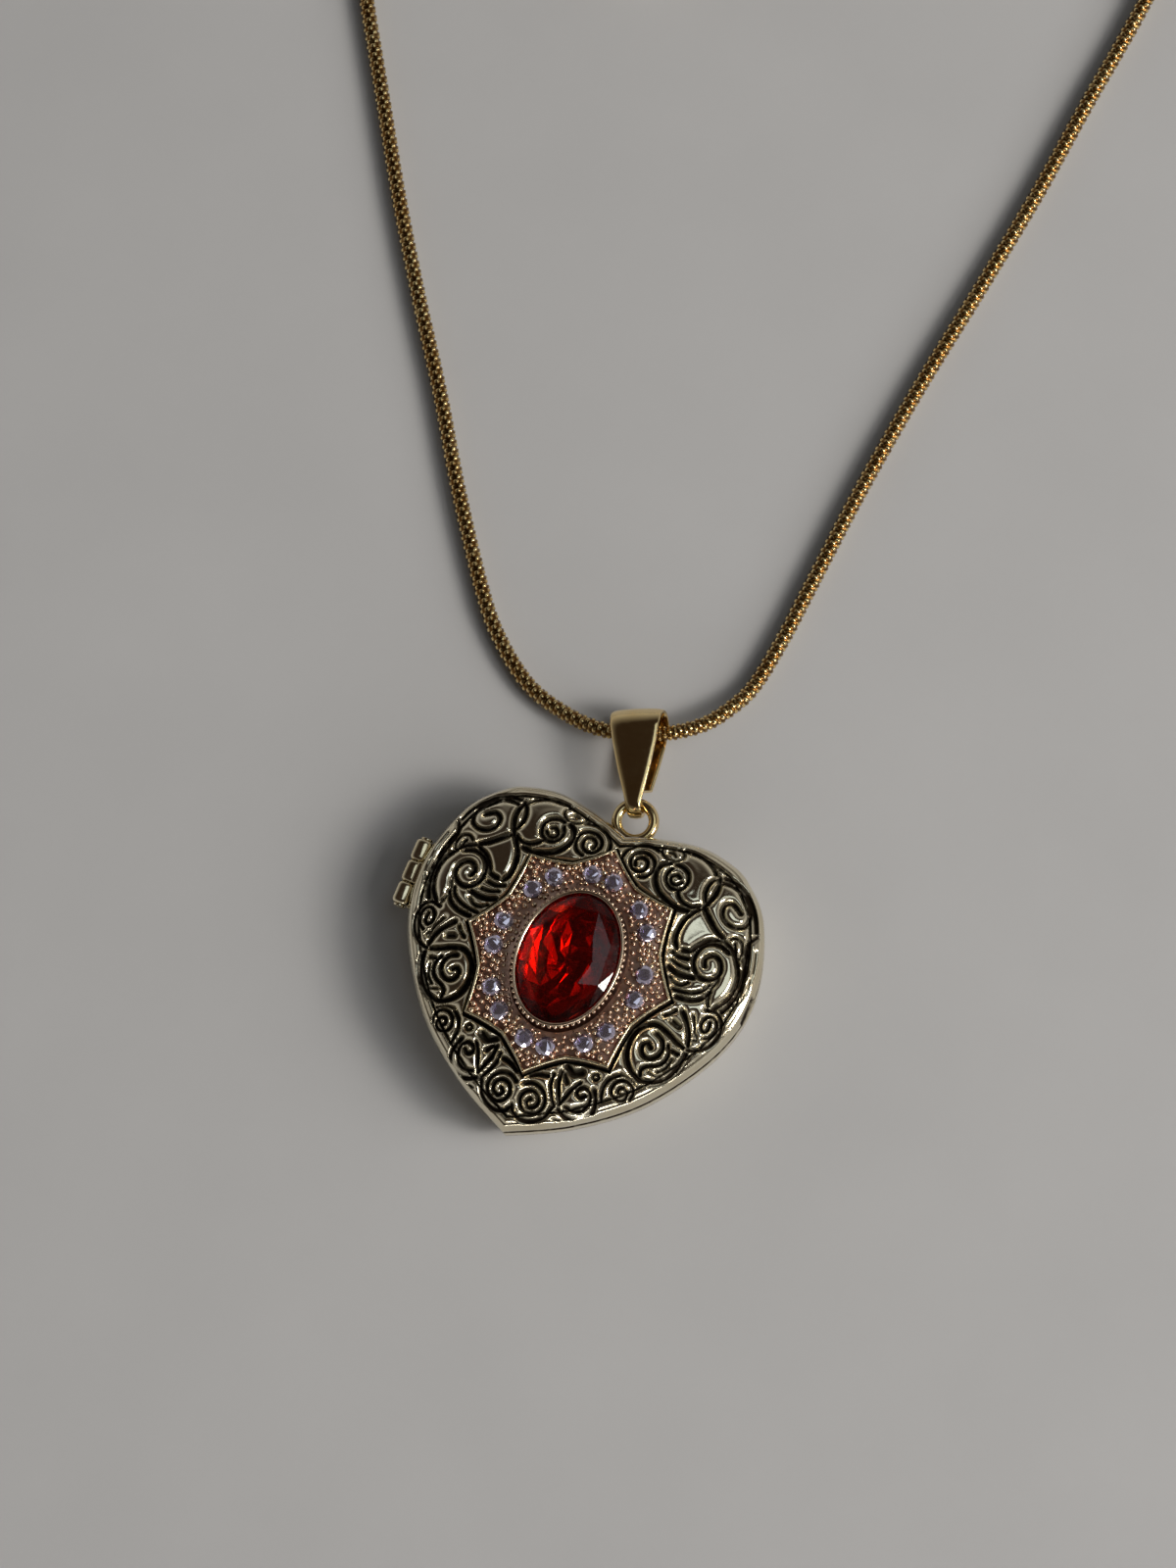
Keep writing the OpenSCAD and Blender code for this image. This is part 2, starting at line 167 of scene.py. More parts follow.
def torus(R, r, n=96, m=20, gap=0.0):
    """Ring about Z at the origin; with a gap its ends are cut square."""
    a = np.linspace(gap / 2, 2 * math.pi - gap / 2, n, endpoint=gap > 0)
    x, z = circle(m)
    P = np.stack(
        [
            np.outer(np.cos(a), R + r * x),
            np.outer(np.sin(a), R + r * x),
            np.outer(np.ones(n), r * z),
        ],
        -1,
    )
    return shell(P, "fan" if gap else "loop")


def lathe(profile, n=64):
    """Solid of revolution about X through (x, radius) points."""
    y, z = circle(n)
    P = np.array([np.stack([np.full(n, x), y * r, z * r], -1) for x, r in profile])
    return shell(P)


def moved(part, matrix):
    """The same skin after a turn and a shift."""
    V, Q, T = part
    R = np.array(matrix)
    return V @ R[:3, :3].T + R[:3, 3], Q, T


def place(x, y, z, turn=0.0, axis="Z"):
    """Shift to a point after a turn in degrees."""
    return Matrix.Translation((x, y, z)) @ Matrix.Rotation(turn * DEG, 4, axis)


# ---- procedural materials ----------------------------------------------------------------------
def material(name):
    mat = bpy.data.materials.new(name)
    mat.use_nodes = True
    nt = mat.node_tree
    bsdf = nt.nodes["Principled BSDF"]
    coord = nt.nodes.new("ShaderNodeTexCoord")
    return mat, nt, bsdf, coord


def noise(nt, coord, scale, detail=3.0, stretch=(1, 1, 1)):
    """Noise in the object's own metres."""
    mp = nt.nodes.new("ShaderNodeMapping")
    mp.inputs["Scale"].default_value = stretch
    nt.links.new(coord.outputs["Object"], mp.inputs["Vector"])
    n = nt.nodes.new("ShaderNodeTexNoise")
    n.inputs["Scale"].default_value = scale
    n.inputs["Detail"].default_value = detail
    nt.links.new(mp.outputs["Vector"], n.inputs["Vector"])
    return n.outputs["Fac"]


def remap(nt, value, a, b, c, d):
    """Takes a..b to c..d and stops there."""
    r = nt.nodes.new("ShaderNodeMapRange")
    for key, v in zip(("From Min", "From Max", "To Min", "To Max"), (a, b, c, d)):
        r.inputs[key].default_value = v
    nt.links.new(value, r.inputs["Value"])
    return r.outputs["Result"]


def blend_colour(nt, fac, a, b):
    mix = nt.nodes.new("ShaderNodeMix")
    mix.data_type = "RGBA"
    nt.links.new(fac, mix.inputs["Factor"])
    for key, v in (("A", a), ("B", b)):
        s = [i for i in mix.inputs if i.name == key and i.type == "RGBA"][0]
        if isinstance(v, tuple):
            s.default_value = (*v, 1)
        else:
            nt.links.new(v, s)
    return [o for o in mix.outputs if o.type == "RGBA"][0]


def math_node(nt, op, a, b):
    n = nt.nodes.new("ShaderNodeMath")
    n.operation = op
    for i, v in enumerate((a, b)):
        if isinstance(v, (int, float)):
            n.inputs[i].default_value = v
        else:
            nt.links.new(v, n.inputs[i])
    return n.outputs[0]


def bump(nt, bsdf, value, distance, strength=1.0):
    b = nt.nodes.new("ShaderNodeBump")
    b.inputs["Distance"].default_value = distance
    b.inputs["Strength"].default_value = strength
    nt.links.new(value, b.inputs["Height"])
    nt.links.new(b.outputs["Normal"], bsdf.inputs["Normal"])


def metal(name, light, deep, rough, patina_and_shade=False, dark=(0.02, 0.014, 0.009), tarnish=0.35, trim=None):
    """Plated metal: uneven tone, worn roughness, hairline scratches; where the mesh's darkening attribute
    says, spots go dark, as patina in hollows and as painted shade.
    """
    mat, nt, bsdf, coord = material(name)
    bsdf.inputs["Metallic"].default_value = 1.0
    tone = remap(nt, noise(nt, coord, 260, 4), 0.35, 0.7, 0, 1)
    colour = blend_colour(nt, tone, light, deep)
    if trim:
        at = nt.nodes.new("ShaderNodeAttribute")
        at.attribute_name = "trim"
        colour = blend_colour(nt, at.outputs["Fac"], colour, trim)
    fine = noise(nt, coord, 2600, 3)
    scratch = noise(nt, coord, 900, 2, (1, 14, 4))
    rough_value = remap(nt, fine, 0.3, 0.75, rough * 0.75, rough * 1.45)
    rough_value = math_node(nt, "ADD", rough_value, remap(nt, scratch, 0.55, 0.75, 0, 0.07))
    if patina_and_shade:
        # the mesh's darkening attribute holds patina in the grooves and painted shade in seams, notches,
        # chain gaps and between beads
        at = nt.nodes.new("ShaderNodeAttribute")
        at.attribute_name = "patina_and_shade"
        worn = remap(nt, noise(nt, coord, 1400, 4), 0.3, 0.7, 0.75, 1.25)
        amount = math_node(nt, "MULTIPLY", at.outputs["Fac"], worn)
        clamp = remap(nt, amount, 0.12, 0.8, 0, 1)
        colour = blend_colour(nt, clamp, colour, dark)
        rough_value = math_node(nt, "ADD", rough_value, math_node(nt, "MULTIPLY", clamp, tarnish))
    nt.links.new(colour, bsdf.inputs["Base Color"])
    nt.links.new(rough_value, bsdf.inputs["Roughness"])
    height = math_node(nt, "ADD", fine, math_node(nt, "MULTIPLY", scratch, 0.8))
    bump(nt, bsdf, height, 0.0000035)
    return mat


def glass(name, colour, tint, ior, rough=0.015, weight=0.9, backing=0.0, gloss=0.5):
    """Clear stone with a cloudy tint; backing mixes in the shine of a foiled back."""
    mat, nt, bsdf, coord = material(name)
    bsdf.inputs["Specular IOR Level"].default_value = gloss
    bsdf.inputs["Metallic"].default_value = backing
    cloud = remap(nt, noise(nt, coord, 420, 3), 0.3, 0.7, 0, 1)
    nt.links.new(blend_colour(nt, cloud, colour, tint), bsdf.inputs["Base Color"])
    bsdf.inputs["Transmission Weight"].default_value = weight
    bsdf.inputs["IOR"].default_value = ior
    fine = noise(nt, coord, 5200, 2)
    nt.links.new(remap(nt, fine, 0.4, 0.8, rough, rough + 0.05), bsdf.inputs["Roughness"])
    bump(nt, bsdf, noise(nt, coord, 1800, 2), 0.000001)
    return mat


def fibrous_paper(name, light, deep):
    mat, nt, bsdf, coord = material(name)
    fibre = noise(nt, coord, 3000, 4, (1, 1, 6))
    nt.links.new(blend_colour(nt, fibre, light, deep), bsdf.inputs["Base Color"])
    nt.links.new(remap(nt, fibre, 0.3, 0.7, 0.55, 0.8), bsdf.inputs["Roughness"])
    bump(nt, bsdf, fibre, 0.00002)
    return mat


# its dark colour is patina in the relief's grooves and painted shade in the seam and the thumb notch
cover_gold = metal("cover_gold", (0.86, 0.79, 0.61), (0.76, 0.67, 0.48), 0.13, patina_and_shade=True)
plain_gold = metal("plain_gold", (0.86, 0.77, 0.56), (0.77, 0.66, 0.44), 0.14)
ring_gold = metal("ring_gold", (0.88, 0.70, 0.38), (0.78, 0.56, 0.26), 0.12)
# its dark colour is the painted shade between the beads of the star plate
star_rose = metal("star_rose", (0.95, 0.70, 0.56), (0.86, 0.54, 0.41), 0.24, patina_and_shade=True,
                  dark=(0.30, 0.12, 0.08), tarnish=0.12, trim=(0.84, 0.73, 0.50))
bezel_gold = metal("bezel_gold", (0.92, 0.74, 0.56), (0.80, 0.56, 0.38), 0.16, patina_and_shade=True,
                   dark=(0.07, 0.03, 0.018), tarnish=0.2)
# its dark colour is the painted shade in the chain's gaps and low cells
chain_gold = metal("chain_gold", (0.94, 0.74, 0.36), (0.84, 0.58, 0.24), 0.14, patina_and_shade=True,
                   dark=(0.16, 0.07, 0.015), tarnish=0.12)
spring_steel = metal("spring_steel", (0.62, 0.62, 0.64), (0.5, 0.5, 0.52), 0.22)
red_glass = glass("red_glass", (0.80, 0.15, 0.08), (0.62, 0.06, 0.04), 1.5, rough=0.05, weight=1.0,
                  gloss=0.14)
red_foil = metal("red_foil", (0.95, 0.20, 0.05), (0.62, 0.07, 0.03), 0.20)
lilac_glass = glass("lilac_glass", (0.84, 0.80, 0.96), (0.66, 0.58, 0.78), 1.9, weight=0.85, backing=0.7)
tie_paper = fibrous_paper("tie_paper", (0.86, 0.85, 0.80), (0.70, 0.68, 0.62))

# ---- the snake chain: one line from the ring's end cap, through the bail, to the clasp's cap --
lie, cap_z = 0.65, 1.06  # height of the line on the floor and in the end caps
ring_cap_x, ring_cap_y = 12.9, 95.5
clasp_cap_x, clasp_cap_y = -18.5, 96
route = [
    (ring_cap_x, ring_cap_y + 3, cap_z), (ring_cap_x, ring_cap_y, cap_z),
    (12.6, 91.6, 0.75), (12.05, 87, lie), (11.4, 82, lie),
    (10.4, 73, lie), (9, 63.5, lie), (7.5, 54, lie), (6.3, 44.3, lie), (5.5, 35.1, lie),
    (5.1, 30.5, lie), (4.45, 26.1, 0.7), (3.6, 23.8, 1.0), (2.1, 21.4, 1.55), (-0.1, 19.6, 1.95),
    (-2.55, 18.6, 1.9), (-5.3, 17.9, 1.55), (-8.6, 18.1, 1.1), (-12.5, 19.3, 0.75), (-16.3, 22.1, lie),
    (-19.3, 25.5, lie), (-24.3, 32.5, lie), (-29, 39.7, lie), (-34, 46.9, lie), (-38.9, 54.3, lie),
    (-43.6, 61.9, lie), (-48.3, 69.5, lie), (-50.9, 74.2, lie), (-51.6, 78.2, lie), (-50, 82, lie),
    (-46, 85.6, 0.8), (-40.9, 90.4, 0.9),
]
tail = [
    (-29, clasp_cap_y, 3.4), (-24.5, clasp_cap_y, 2.3), (-20.5, clasp_cap_y, 1.2),
    (clasp_cap_x, clasp_cap_y, cap_z), (-15.6, clasp_cap_y, cap_z),
]
coil_at = np.array([-32.0, 88.0])
coil_turns = 5.125
coil_wide, coil_narrow = 8.0, 6.7
# turns, radius and height: out, in, in one row up, out, out another row up
coil_steps = [
    (0, coil_wide, 0.9), (0.8, coil_wide, 0.9), (1.05, coil_narrow, 0.9), (1.85, coil_narrow, 0.9),
    (2.1, coil_narrow, 2.2), (2.9, coil_narrow, 2.2), (3.15, coil_wide, 2.2), (3.95, coil_wide, 2.2),
    (4.2, coil_wide, 3.5), (coil_turns, coil_wide, 3.5),
]


def coil_point(t):
    """Point of the coil after t turns."""
    a = (135 - 360 * t) * DEG
    for (t0, r0, z0), (t1, r1, z1) in zip(coil_steps, coil_steps[1:]):
        if t <= t1:
            k = (t - t0) / (t1 - t0)
            k = k * k * (3 - 2 * k)
            r, z = r0 + (r1 - r0) * k, z0 + (z1 - z0) * k
            break
    return (coil_at[0] + r * math.cos(a), coil_at[1] + r * math.sin(a), z)


coil = [coil_point(t) for t in np.linspace(0, coil_turns, 250)]
line = np.vstack([spline(route + coil[:1], 24)[:-1], np.array(coil)[:-1], spline([coil[-1]] + tail, 16)])
step = np.linalg.norm(np.diff(line, axis=0), axis=1)
dist = np.concatenate([[0], np.cumsum(step)])
chain_length = dist[-1]


def along(d):
    """Points of the line at these distances from its start."""
    return np.stack([np.interp(d, dist, line[:, k]) for k in range(3)], -1)


pitch, sides = 0.4, 20
gap_r, row_r, bump_height = 0.5, 0.54, 0.11
links = int(chain_length / pitch)
row_length = chain_length / links
ds, rs, low = [], [], []
for k in range(links):
    d0 = chain_length * k / links
    # bumps two sides wide, staggered from row to row
    proud = ((np.arange(sides) // 2 + k) % 2) * bump_height
    ds += [d0, d0 + 0.3 * row_length, d0 + 0.7 * row_length]
    rs += [np.full(sides, gap_r), row_r + proud, row_r + proud]
    low += [np.ones(sides), 0.8 - proud * 8, 0.8 - proud * 8]
ds, rs, low = np.array(ds), np.array(rs), np.array(low)
centre = along(ds)
tangent = along(np.minimum(ds + 0.12, chain_length)) - along(np.maximum(ds - 0.12, 0))
tangent /= np.linalg.norm(tangent, axis=1)[:, None]
side = np.cross([0, 0, 1], tangent)
side /= np.linalg.norm(side, axis=1)[:, None]
upward = np.cross(tangent, side)
cx, cy = circle(sides, 0.1)
spoke = cx[None, :, None] * side[:, None, :] + cy[None, :, None] * upward[:, None, :]
skin = shell(centre[:, None, :] + rs[:, :, None] * spoke)
# painted shade: the gaps between the rows of links and the low cells between the bumps go dark
chain_crevice_shade = np.concatenate([np.clip(low, 0, 1).ravel(), [1, 1]])
chain = piece("snake_chain_links", skin, "chain", ["snake_chain", "chain_coil", "chain_tail"],
              chain_gold, sharp=0, attrs={"patina_and_shade": chain_crevice_shade})

# ---- heart outline and dome ----------------------------------------------------------------------
half = [(0, 9.9), (2.6, 10.75), (5.8, 11.3), (8.4, 10.95), (10.4, 10.0), (12.75, 7.3), (14.2, 2.1),
        (13.3, -3.1), (9.6, -8.9), (4.9, -12.8), (0, -15.3)]
half_line = spline(half, 40)
outline = np.vstack([half_line * [-1, 1], half_line[::-1][1:-1]])
mid = np.array([0, -0.5])
seam_z, front_z0 = 3.0, 3.05  # where the back cover ends and the front cover starts
rim_z, ground_z = 4.0, 6.2  # foot and top of the dome
star_y = -1.3
# half-axes through the star's larger and its smaller corners
tip_x, tip_y, inner_x, inner_y = 8.6, 9.6, 7.1, 7.95
stone_x, stone_y = 4.0, 5.45  # half-axes of the oval stone

# hinge on the left: its axis, its lower end, a knuckle's length and the gap between two
hinge_x, hinge_z, hinge_y = -14.75, 3.025, -1.5
knuckle_length, knuckle_gap = 1.78, 0.06
# thumb notch on the right
notch_y, notch_half, notch_r = 0.5, 1.1, 0.6


def radius_along(poly, centre, angles):
    """Distance from centre to a closed outline that is seen whole from there, for each angle."""
    d = poly - centre
    a = np.unwrap(np.arctan2(d[:, 1], d[:, 0]))
    r = np.linalg.norm(d, axis=1)
    if a[-1] < a[0]:
        a, r = a[::-1], r[::-1]
    a = np.concatenate([a, [a[0] + 2 * math.pi]])
    r = np.concatenate([r, [r[0]]])
    x = np.mod(angles - a[0], 2 * math.pi) + a[0]
    return np.interp(x, a, r)


def star_outline(grow, n=24, sag=0.10):
    """Eight tips joined by sides that sag inwards."""
    corners = []
    for i in range(16):
        rx, ry = (tip_x, tip_y) if i % 2 == 0 else (inner_x, inner_y)
        a = 22.5 * i * DEG
        corners.append(((rx + grow) * math.sin(a), star_y + (ry + grow) * math.cos(a)))
    corners = np.array(corners)[::-1]
    out = []
    for a, b in zip(corners, np.roll(corners, -1, axis=0)):
        t = np.linspace(0, 1, n, endpoint=False)[:, None]
        p = a + (b - a) * t
        inward = unit(np.array([0, star_y]) - (a + b) / 2)
        out.append(p + inward * sag * 4 * t * (1 - t))
    return np.vstack(out)


def dome(s):
    """Height of the dome at a share s of the way to the outline."""
    return rim_z + (ground_z - rim_z) * np.power(np.clip(1 - s**4, 0, 1), 0.6)


# grooves of the scrollwork on the right half: width, depth, points
GROOVES = [
    # first small scroll beside the cleft
    (0.13, 1.0, [(1.8, 7.75), (1.7, 8.2), (2.05, 8.55), (2.55, 8.45), (2.7, 8.0), (2.55, 7.55), (2.1, 7.35),
                 (1.6, 7.5), (1.3, 8.05), (1.4, 8.6), (1.95, 9.0), (2.65, 8.95), (3.15, 8.5), (3.25, 7.8),
                 (2.95, 7.2), (2.35, 6.95)]),
    (0.14, 1.0, [(0.55, 7.9), (0.75, 8.8), (1.4, 9.5), (2.3, 9.75), (3.1, 9.6)]),
    (0.10, 0.8, [(3.2, 10.1), (3.3, 9.6), (3.8, 9.25), (4.5, 9.2), (5.0, 9.6), (5.0, 10.1), (4.5, 10.35)]),
    (0.10, 0.8, [(3.8, 9.75), (4.2, 9.85), (4.5, 9.6)]),
    # second scroll and the smooth bulb over it
    (0.13, 1.0, [(5.5, 8.1), (5.15, 8.25), (4.8, 7.9), (4.95, 7.5), (5.4, 7.45), (5.75, 7.8)]),
    (0.15, 1.0, [(4.6, 8.6), (4.4, 8.0), (4.6, 7.4), (5.2, 7.05), (5.9, 7.3), (6.15, 8.0), (5.9, 8.7),
                 (5.2, 9.05), (4.7, 8.95)]),
    (0.20, 1.3, [(4.3, 9.0), (3.75, 8.6), (3.55, 7.9), (3.8, 7.1), (4.4, 6.4), (5.3, 5.95), (6.2, 5.75),
                 (7.0, 5.85)]),
    (0.15, 1.0, [(5.65, 7.1), (5.95, 6.65), (6.5, 6.3), (7.2, 6.25), (7.8, 6.6)]),
    (0.13, 0.9, [(4.9, 10.45), (5.8, 10.5), (6.8, 10.3), (7.6, 9.85), (8.1, 9.3)]),
    (0.15, 1.1, [(8.15, 9.25), (7.8, 8.6), (7.75, 7.8), (8.0, 7.1)]),
    (0.20, 1.3, [(8.3, 9.3), (8.5, 8.7), (8.5, 7.9), (8.25, 7.1), (8.0, 6.5)]),
    # third scroll in the shoulder
    (0.16, 1.0, [(10.9, 7.3), (10.5, 7.55), (10.0, 7.75), (9.55, 7.4), (9.6, 6.7), (10.1, 6.2), (10.8, 6.05),
                 (11.5, 6.35), (11.7, 7.1), (11.4, 7.9), (10.8, 8.6), (10.0, 9.05), (9.2, 9.15),
                 (8.7, 9.05)]),
    (0.20, 1.2, [(8.7, 9.5), (9.6, 9.45), (10.7, 8.95), (11.6, 8.1), (12.15, 7.2), (12.5, 6.4)]),
    (0.20, 1.3, [(8.1, 6.6), (8.8, 5.95), (9.6, 5.3), (10.3, 4.9)]),
    # leaf beside the star
    (0.17, 1.2, [(7.8, 6.35), (7.2, 5.4), (6.95, 4.4), (7.0, 3.4), (7.35, 2.8)]),
    (0.17, 1.1, [(10.2, 4.65), (9.4, 4.25), (8.8, 3.5), (8.45, 2.95), (7.8, 2.8)]),
    # large side scroll
    (0.17, 1.1, [(9.9, 2.3), (9.75, 2.8), (10.15, 3.3), (10.75, 3.2), (11.15, 2.6), (11.1, 1.9), (10.6, 1.4),
                 (9.9, 1.3), (9.3, 1.7), (8.95, 2.4), (9.0, 3.3), (9.5, 4.0), (10.4, 4.25), (11.2, 4.0)]),
    (0.17, 1.1, [(10.5, 4.75), (11.4, 4.3), (12.15, 3.4), (12.6, 2.4), (12.65, 1.3), (12.35, 0.3),
                 (11.7, -0.6)]),
    (0.12, 0.8, [(11.15, 2.3), (11.2, 1.5), (11.0, 0.8), (11.05, 0.1), (11.3, -0.5)]),
    (0.12, 0.9, [(10.9, 5.0), (11.3, 5.3), (11.85, 5.15), (12.1, 4.5), (12.05, 3.9)]),
    (0.11, 0.9, [(11.35, 4.9), (11.65, 4.3), (11.95, 3.8)]),
    (0.20, 1.2, [(12.65, 6.05), (12.35, 5.3), (12.5, 4.4), (12.8, 3.3), (12.95, 2.2), (12.95, 1.2),
                 (12.7, 0.2), (12.4, -0.5)]),
    (0.09, 0.6, [(13.05, 5.0), (13.35, 4.0), (13.5, 2.8), (13.5, 1.4), (13.2, 0.3)]),
    # feathered stems under it
    (0.15, 1.0, [(7.1, 2.45), (7.7, 2.2), (8.5, 2.3)]),
    (0.12, 0.9, [(7.3, 1.85), (8.0, 1.6), (8.8, 1.6)]),
    (0.20, 1.3, [(7.3, 1.2), (8.0, 0.95), (8.8, 0.95), (9.4, 1.1)]),
    (0.12, 0.9, [(7.7, 0.55), (8.2, 0.2), (8.8, 0.2), (9.2, 0.6)]),
    (0.13, 1.0, [(8.2, -0.35), (9.1, -0.25), (9.9, 0.0), (10.5, 0.45), (10.75, 1.0)]),
    (0.17, 1.1, [(8.7, -0.8), (9.8, -0.65), (10.6, -0.2), (11.0, 0.5)]),
    # small scroll just under the widest place
    (0.13, 1.0, [(11.9, -1.6), (11.95, -2.2), (11.65, -2.5), (11.35, -2.1), (11.45, -1.5), (11.9, -1.15),
                 (12.35, -1.4), (12.5, -2.0), (12.3, -2.65), (11.85, -2.95)]),
    (0.15, 1.1, [(11.3, -0.85), (12.0, -0.7), (12.6, -1.1), (12.85, -1.9), (12.7, -2.8), (12.25, -3.6),
                 (11.6, -4.1), (11.0, -4.25)]),
    (0.10, 0.8, [(11.25, -2.95), (11.4, -3.3)]),
    # three-cornered leaf
    (0.18, 1.2, [(9.6, -1.6), (10.25, -2.3), (10.75, -3.1), (10.95, -3.95)]),
    (0.10, 0.8, [(10.55, -1.6), (11.0, -2.5), (11.2, -3.4)]),
    (0.22, 0.8, [(9.2, -2.65), (9.8, -2.85)]),
    (0.12, 0.9, [(8.45, -2.5), (8.85, -2.2), (9.15, -1.8)]),
    (0.18, 1.2, [(7.0, -4.25), (7.5, -3.7), (8.2, -3.4), (9.1, -3.6), (10.0, -4.0), (10.7, -4.2)]),
    # round scroll in its frame
    (0.16, 1.1, [(8.4, -5.2), (8.05, -4.95), (7.75, -5.3), (8.0, -5.9), (8.55, -6.05), (9.1, -5.65),
                 (9.3, -4.95), (9.0, -4.3), (8.4, -4.0)]),
    (0.20, 1.3, [(7.0, -4.25), (6.75, -5.1), (6.8, -6.1), (7.15, -6.9), (7.75, -7.5), (8.5, -7.8),
                 (9.3, -7.65), (10.1, -7.1), (10.65, -6.3), (10.95, -5.4), (11.05, -4.6)]),
    (0.14, 1.0, [(9.55, -4.5), (9.85, -5.1), (9.75, -5.8), (9.3, -6.3), (8.7, -6.6), (8.35, -7.0),
                 (8.4, -7.5)]),
    (0.15, 1.0, [(9.95, -4.8), (10.5, -4.85)]),
    (0.11, 0.8, [(10.25, -5.35), (10.0, -6.2), (9.5, -6.75)]),
    (0.10, 0.8, [(8.85, -6.95), (9.6, -7.15)]),
    (0.09, 0.7, [(11.4, -4.6), (11.25, -5.5), (10.85, -6.5), (10.15, -7.4), (9.3, -8.0)]),
    # small scroll below it
    (0.13, 1.0, [(7.5, -9.45), (7.25, -9.2), (7.5, -8.85), (7.95, -9.05), (7.95, -9.6), (7.5, -9.9),
                 (6.95, -9.7), (6.75, -9.2), (6.95, -8.6), (7.5, -8.3), (8.1, -8.45), (8.4, -8.95),
                 (8.3, -9.5)]),
    (0.14, 1.0, [(6.95, -8.1), (6.4, -8.6), (6.15, -9.3), (6.2, -10.0), (6.35, -10.5)]),
    (0.10, 0.8, [(7.0, -7.95), (7.8, -8.0), (8.45, -8.35)]),
    (0.10, 0.9, [(5.35, -8.65), (5.6, -8.9), (5.35, -9.15), (5.1, -8.9), (5.35, -8.65)]),
    (0.30, 1.1, [(3.0, -9.0), (3.6, -9.3), (4.2, -9.0)]),
    (0.20, 1.0, [(3.0, -9.6), (3.4, -10.1)]),
    # drop-shaped scroll
    (0.15, 1.1, [(5.1, -10.5), (4.75, -10.8), (4.4, -10.6), (4.5, -10.15), (5.0, -10.0), (5.45, -10.4),
                 (5.5, -11.1), (5.15, -11.7), (4.5, -12.0), (3.9, -11.9)]),
    (0.13, 1.0, [(4.4, -9.75), (3.95, -10.5), (3.65, -11.3), (3.4, -11.9)]),
    (0.20, 1.3, [(5.6, -9.9), (5.95, -10.7), (6.0, -11.5), (5.6, -12.15), (4.9, -12.55), (4.1, -12.6),
                 (3.4, -12.3)]),
    (0.13, 1.0, [(2.25, -9.9), (2.3, -10.7), (2.6, -11.4), (3.1, -12.2)]),
    (0.16, 1.1, [(2.75, -9.5), (2.8, -10.3), (3.05, -11.0), (3.35, -11.7)]),
    # scroll at the tip
    (0.14, 1.1, [(1.25, -12.3), (1.0, -12.6), (1.3, -12.95), (1.8, -12.65), (1.8, -12.05), (1.3, -11.7),
                 (0.7, -11.9), (0.45, -12.5), (0.7, -13.1), (1.3, -13.4), (2.0, -13.15), (2.35, -12.5),
                 (2.2, -11.75), (1.65, -11.25), (0.9, -11.15), (0.3, -11.5)]),
    (0.18, 1.2, [(2.95, -12.3), (2.7, -13.1), (2.0, -13.75), (1.1, -14.05), (0.35, -13.85), (0.0, -13.3)]),
    (0.10, 0.8, [(3.35, -13.1), (3.8, -12.98)]),
    (0.16, 1.0, [(1.9, -10.2), (1.2, -10.35), (0.5, -10.75)]),
]
far = 9.0  # mm, stands for no groove near


def near_line(x, y, pts):
    """Distance of each point to a line of points, or far where it is more than a little way off."""
    best = np.full(len(x), far)
    lo, hi = pts.min(0) - 1.2, pts.max(0) + 1.2
    k = np.flatnonzero((x > lo[0]) & (x < hi[0]) & (y > lo[1]) & (y < hi[1]))
    if not len(k):
        return best
    X, Y = x[k], y[k]
    d = np.full(len(k), far**2)
    for a, b in zip(pts[:-1], pts[1:]):
        e = b - a
        t = np.clip(((X - a[0]) * e[0] + (Y - a[1]) * e[1]) / max(e.dot(e), 1e-9), 0, 1)
        d = np.minimum(d, (X - a[0] - t * e[0]) ** 2 + (Y - a[1] - t * e[1]) ** 2)
    best[k] = np.sqrt(d)
    return best


def pocket(P, upper):
    """Makes room in a cover's wall for the hinge and for the thumb, and says where the thumb's notch is, as
    painted shade on the faces that it cuts.
    """
    P = P.copy()
    y = P[..., 1]
    z = P[..., 2] - hinge_z
    near = (P[..., 0] < -13) & (np.abs(z) < 0.78) & (y > hinge_y - 0.25) & (y < 4.2)
    edge = hinge_x + np.sqrt(np.clip(0.61 - z**2, 0, 1))
    P[..., 0] = np.where(near & (P[..., 0] < edge), edge, P[..., 0])
    tall = 2.75 if upper else 1.15
    near = (P[..., 0] > 13.2) & (np.abs(z) < notch_r * tall) & (np.abs(y - notch_y) < notch_half)
    edge = 14.42 - np.sqrt(np.clip(notch_r**2 - (z / tall) ** 2, 0, 1))
    cut = near & (P[..., 0] > edge)
    P[..., 0] = np.where(cut, edge, P[..., 0])
    # painted shade on the notch's cut faces
    return P, np.where(cut, 0.85, 0.0)


# ---- front cover with its scrollwork -----------------------------------------------------------
N = 900
theta = np.linspace(0, 2 * math.pi, N, endpoint=False) + math.pi / 2
r_out = radius_along(outline, mid, theta)
r_star = radius_along(star_outline(0.02), mid, theta)
ux, uy = np.cos(theta), np.sin(theta)


def ring_at(r, z):
    return np.stack([mid[0] + r * ux, mid[1] + r * uy, np.broadcast_to(z, r.shape)], -1)


# flat ground under the star plate
rings = [ring_at(r, ground_z - 0.01) for r in (r_star * 0.3, r_star * 0.6, r_star * 0.85, r_star - 0.16)]
pat = [np.zeros(N) for _ in rings]

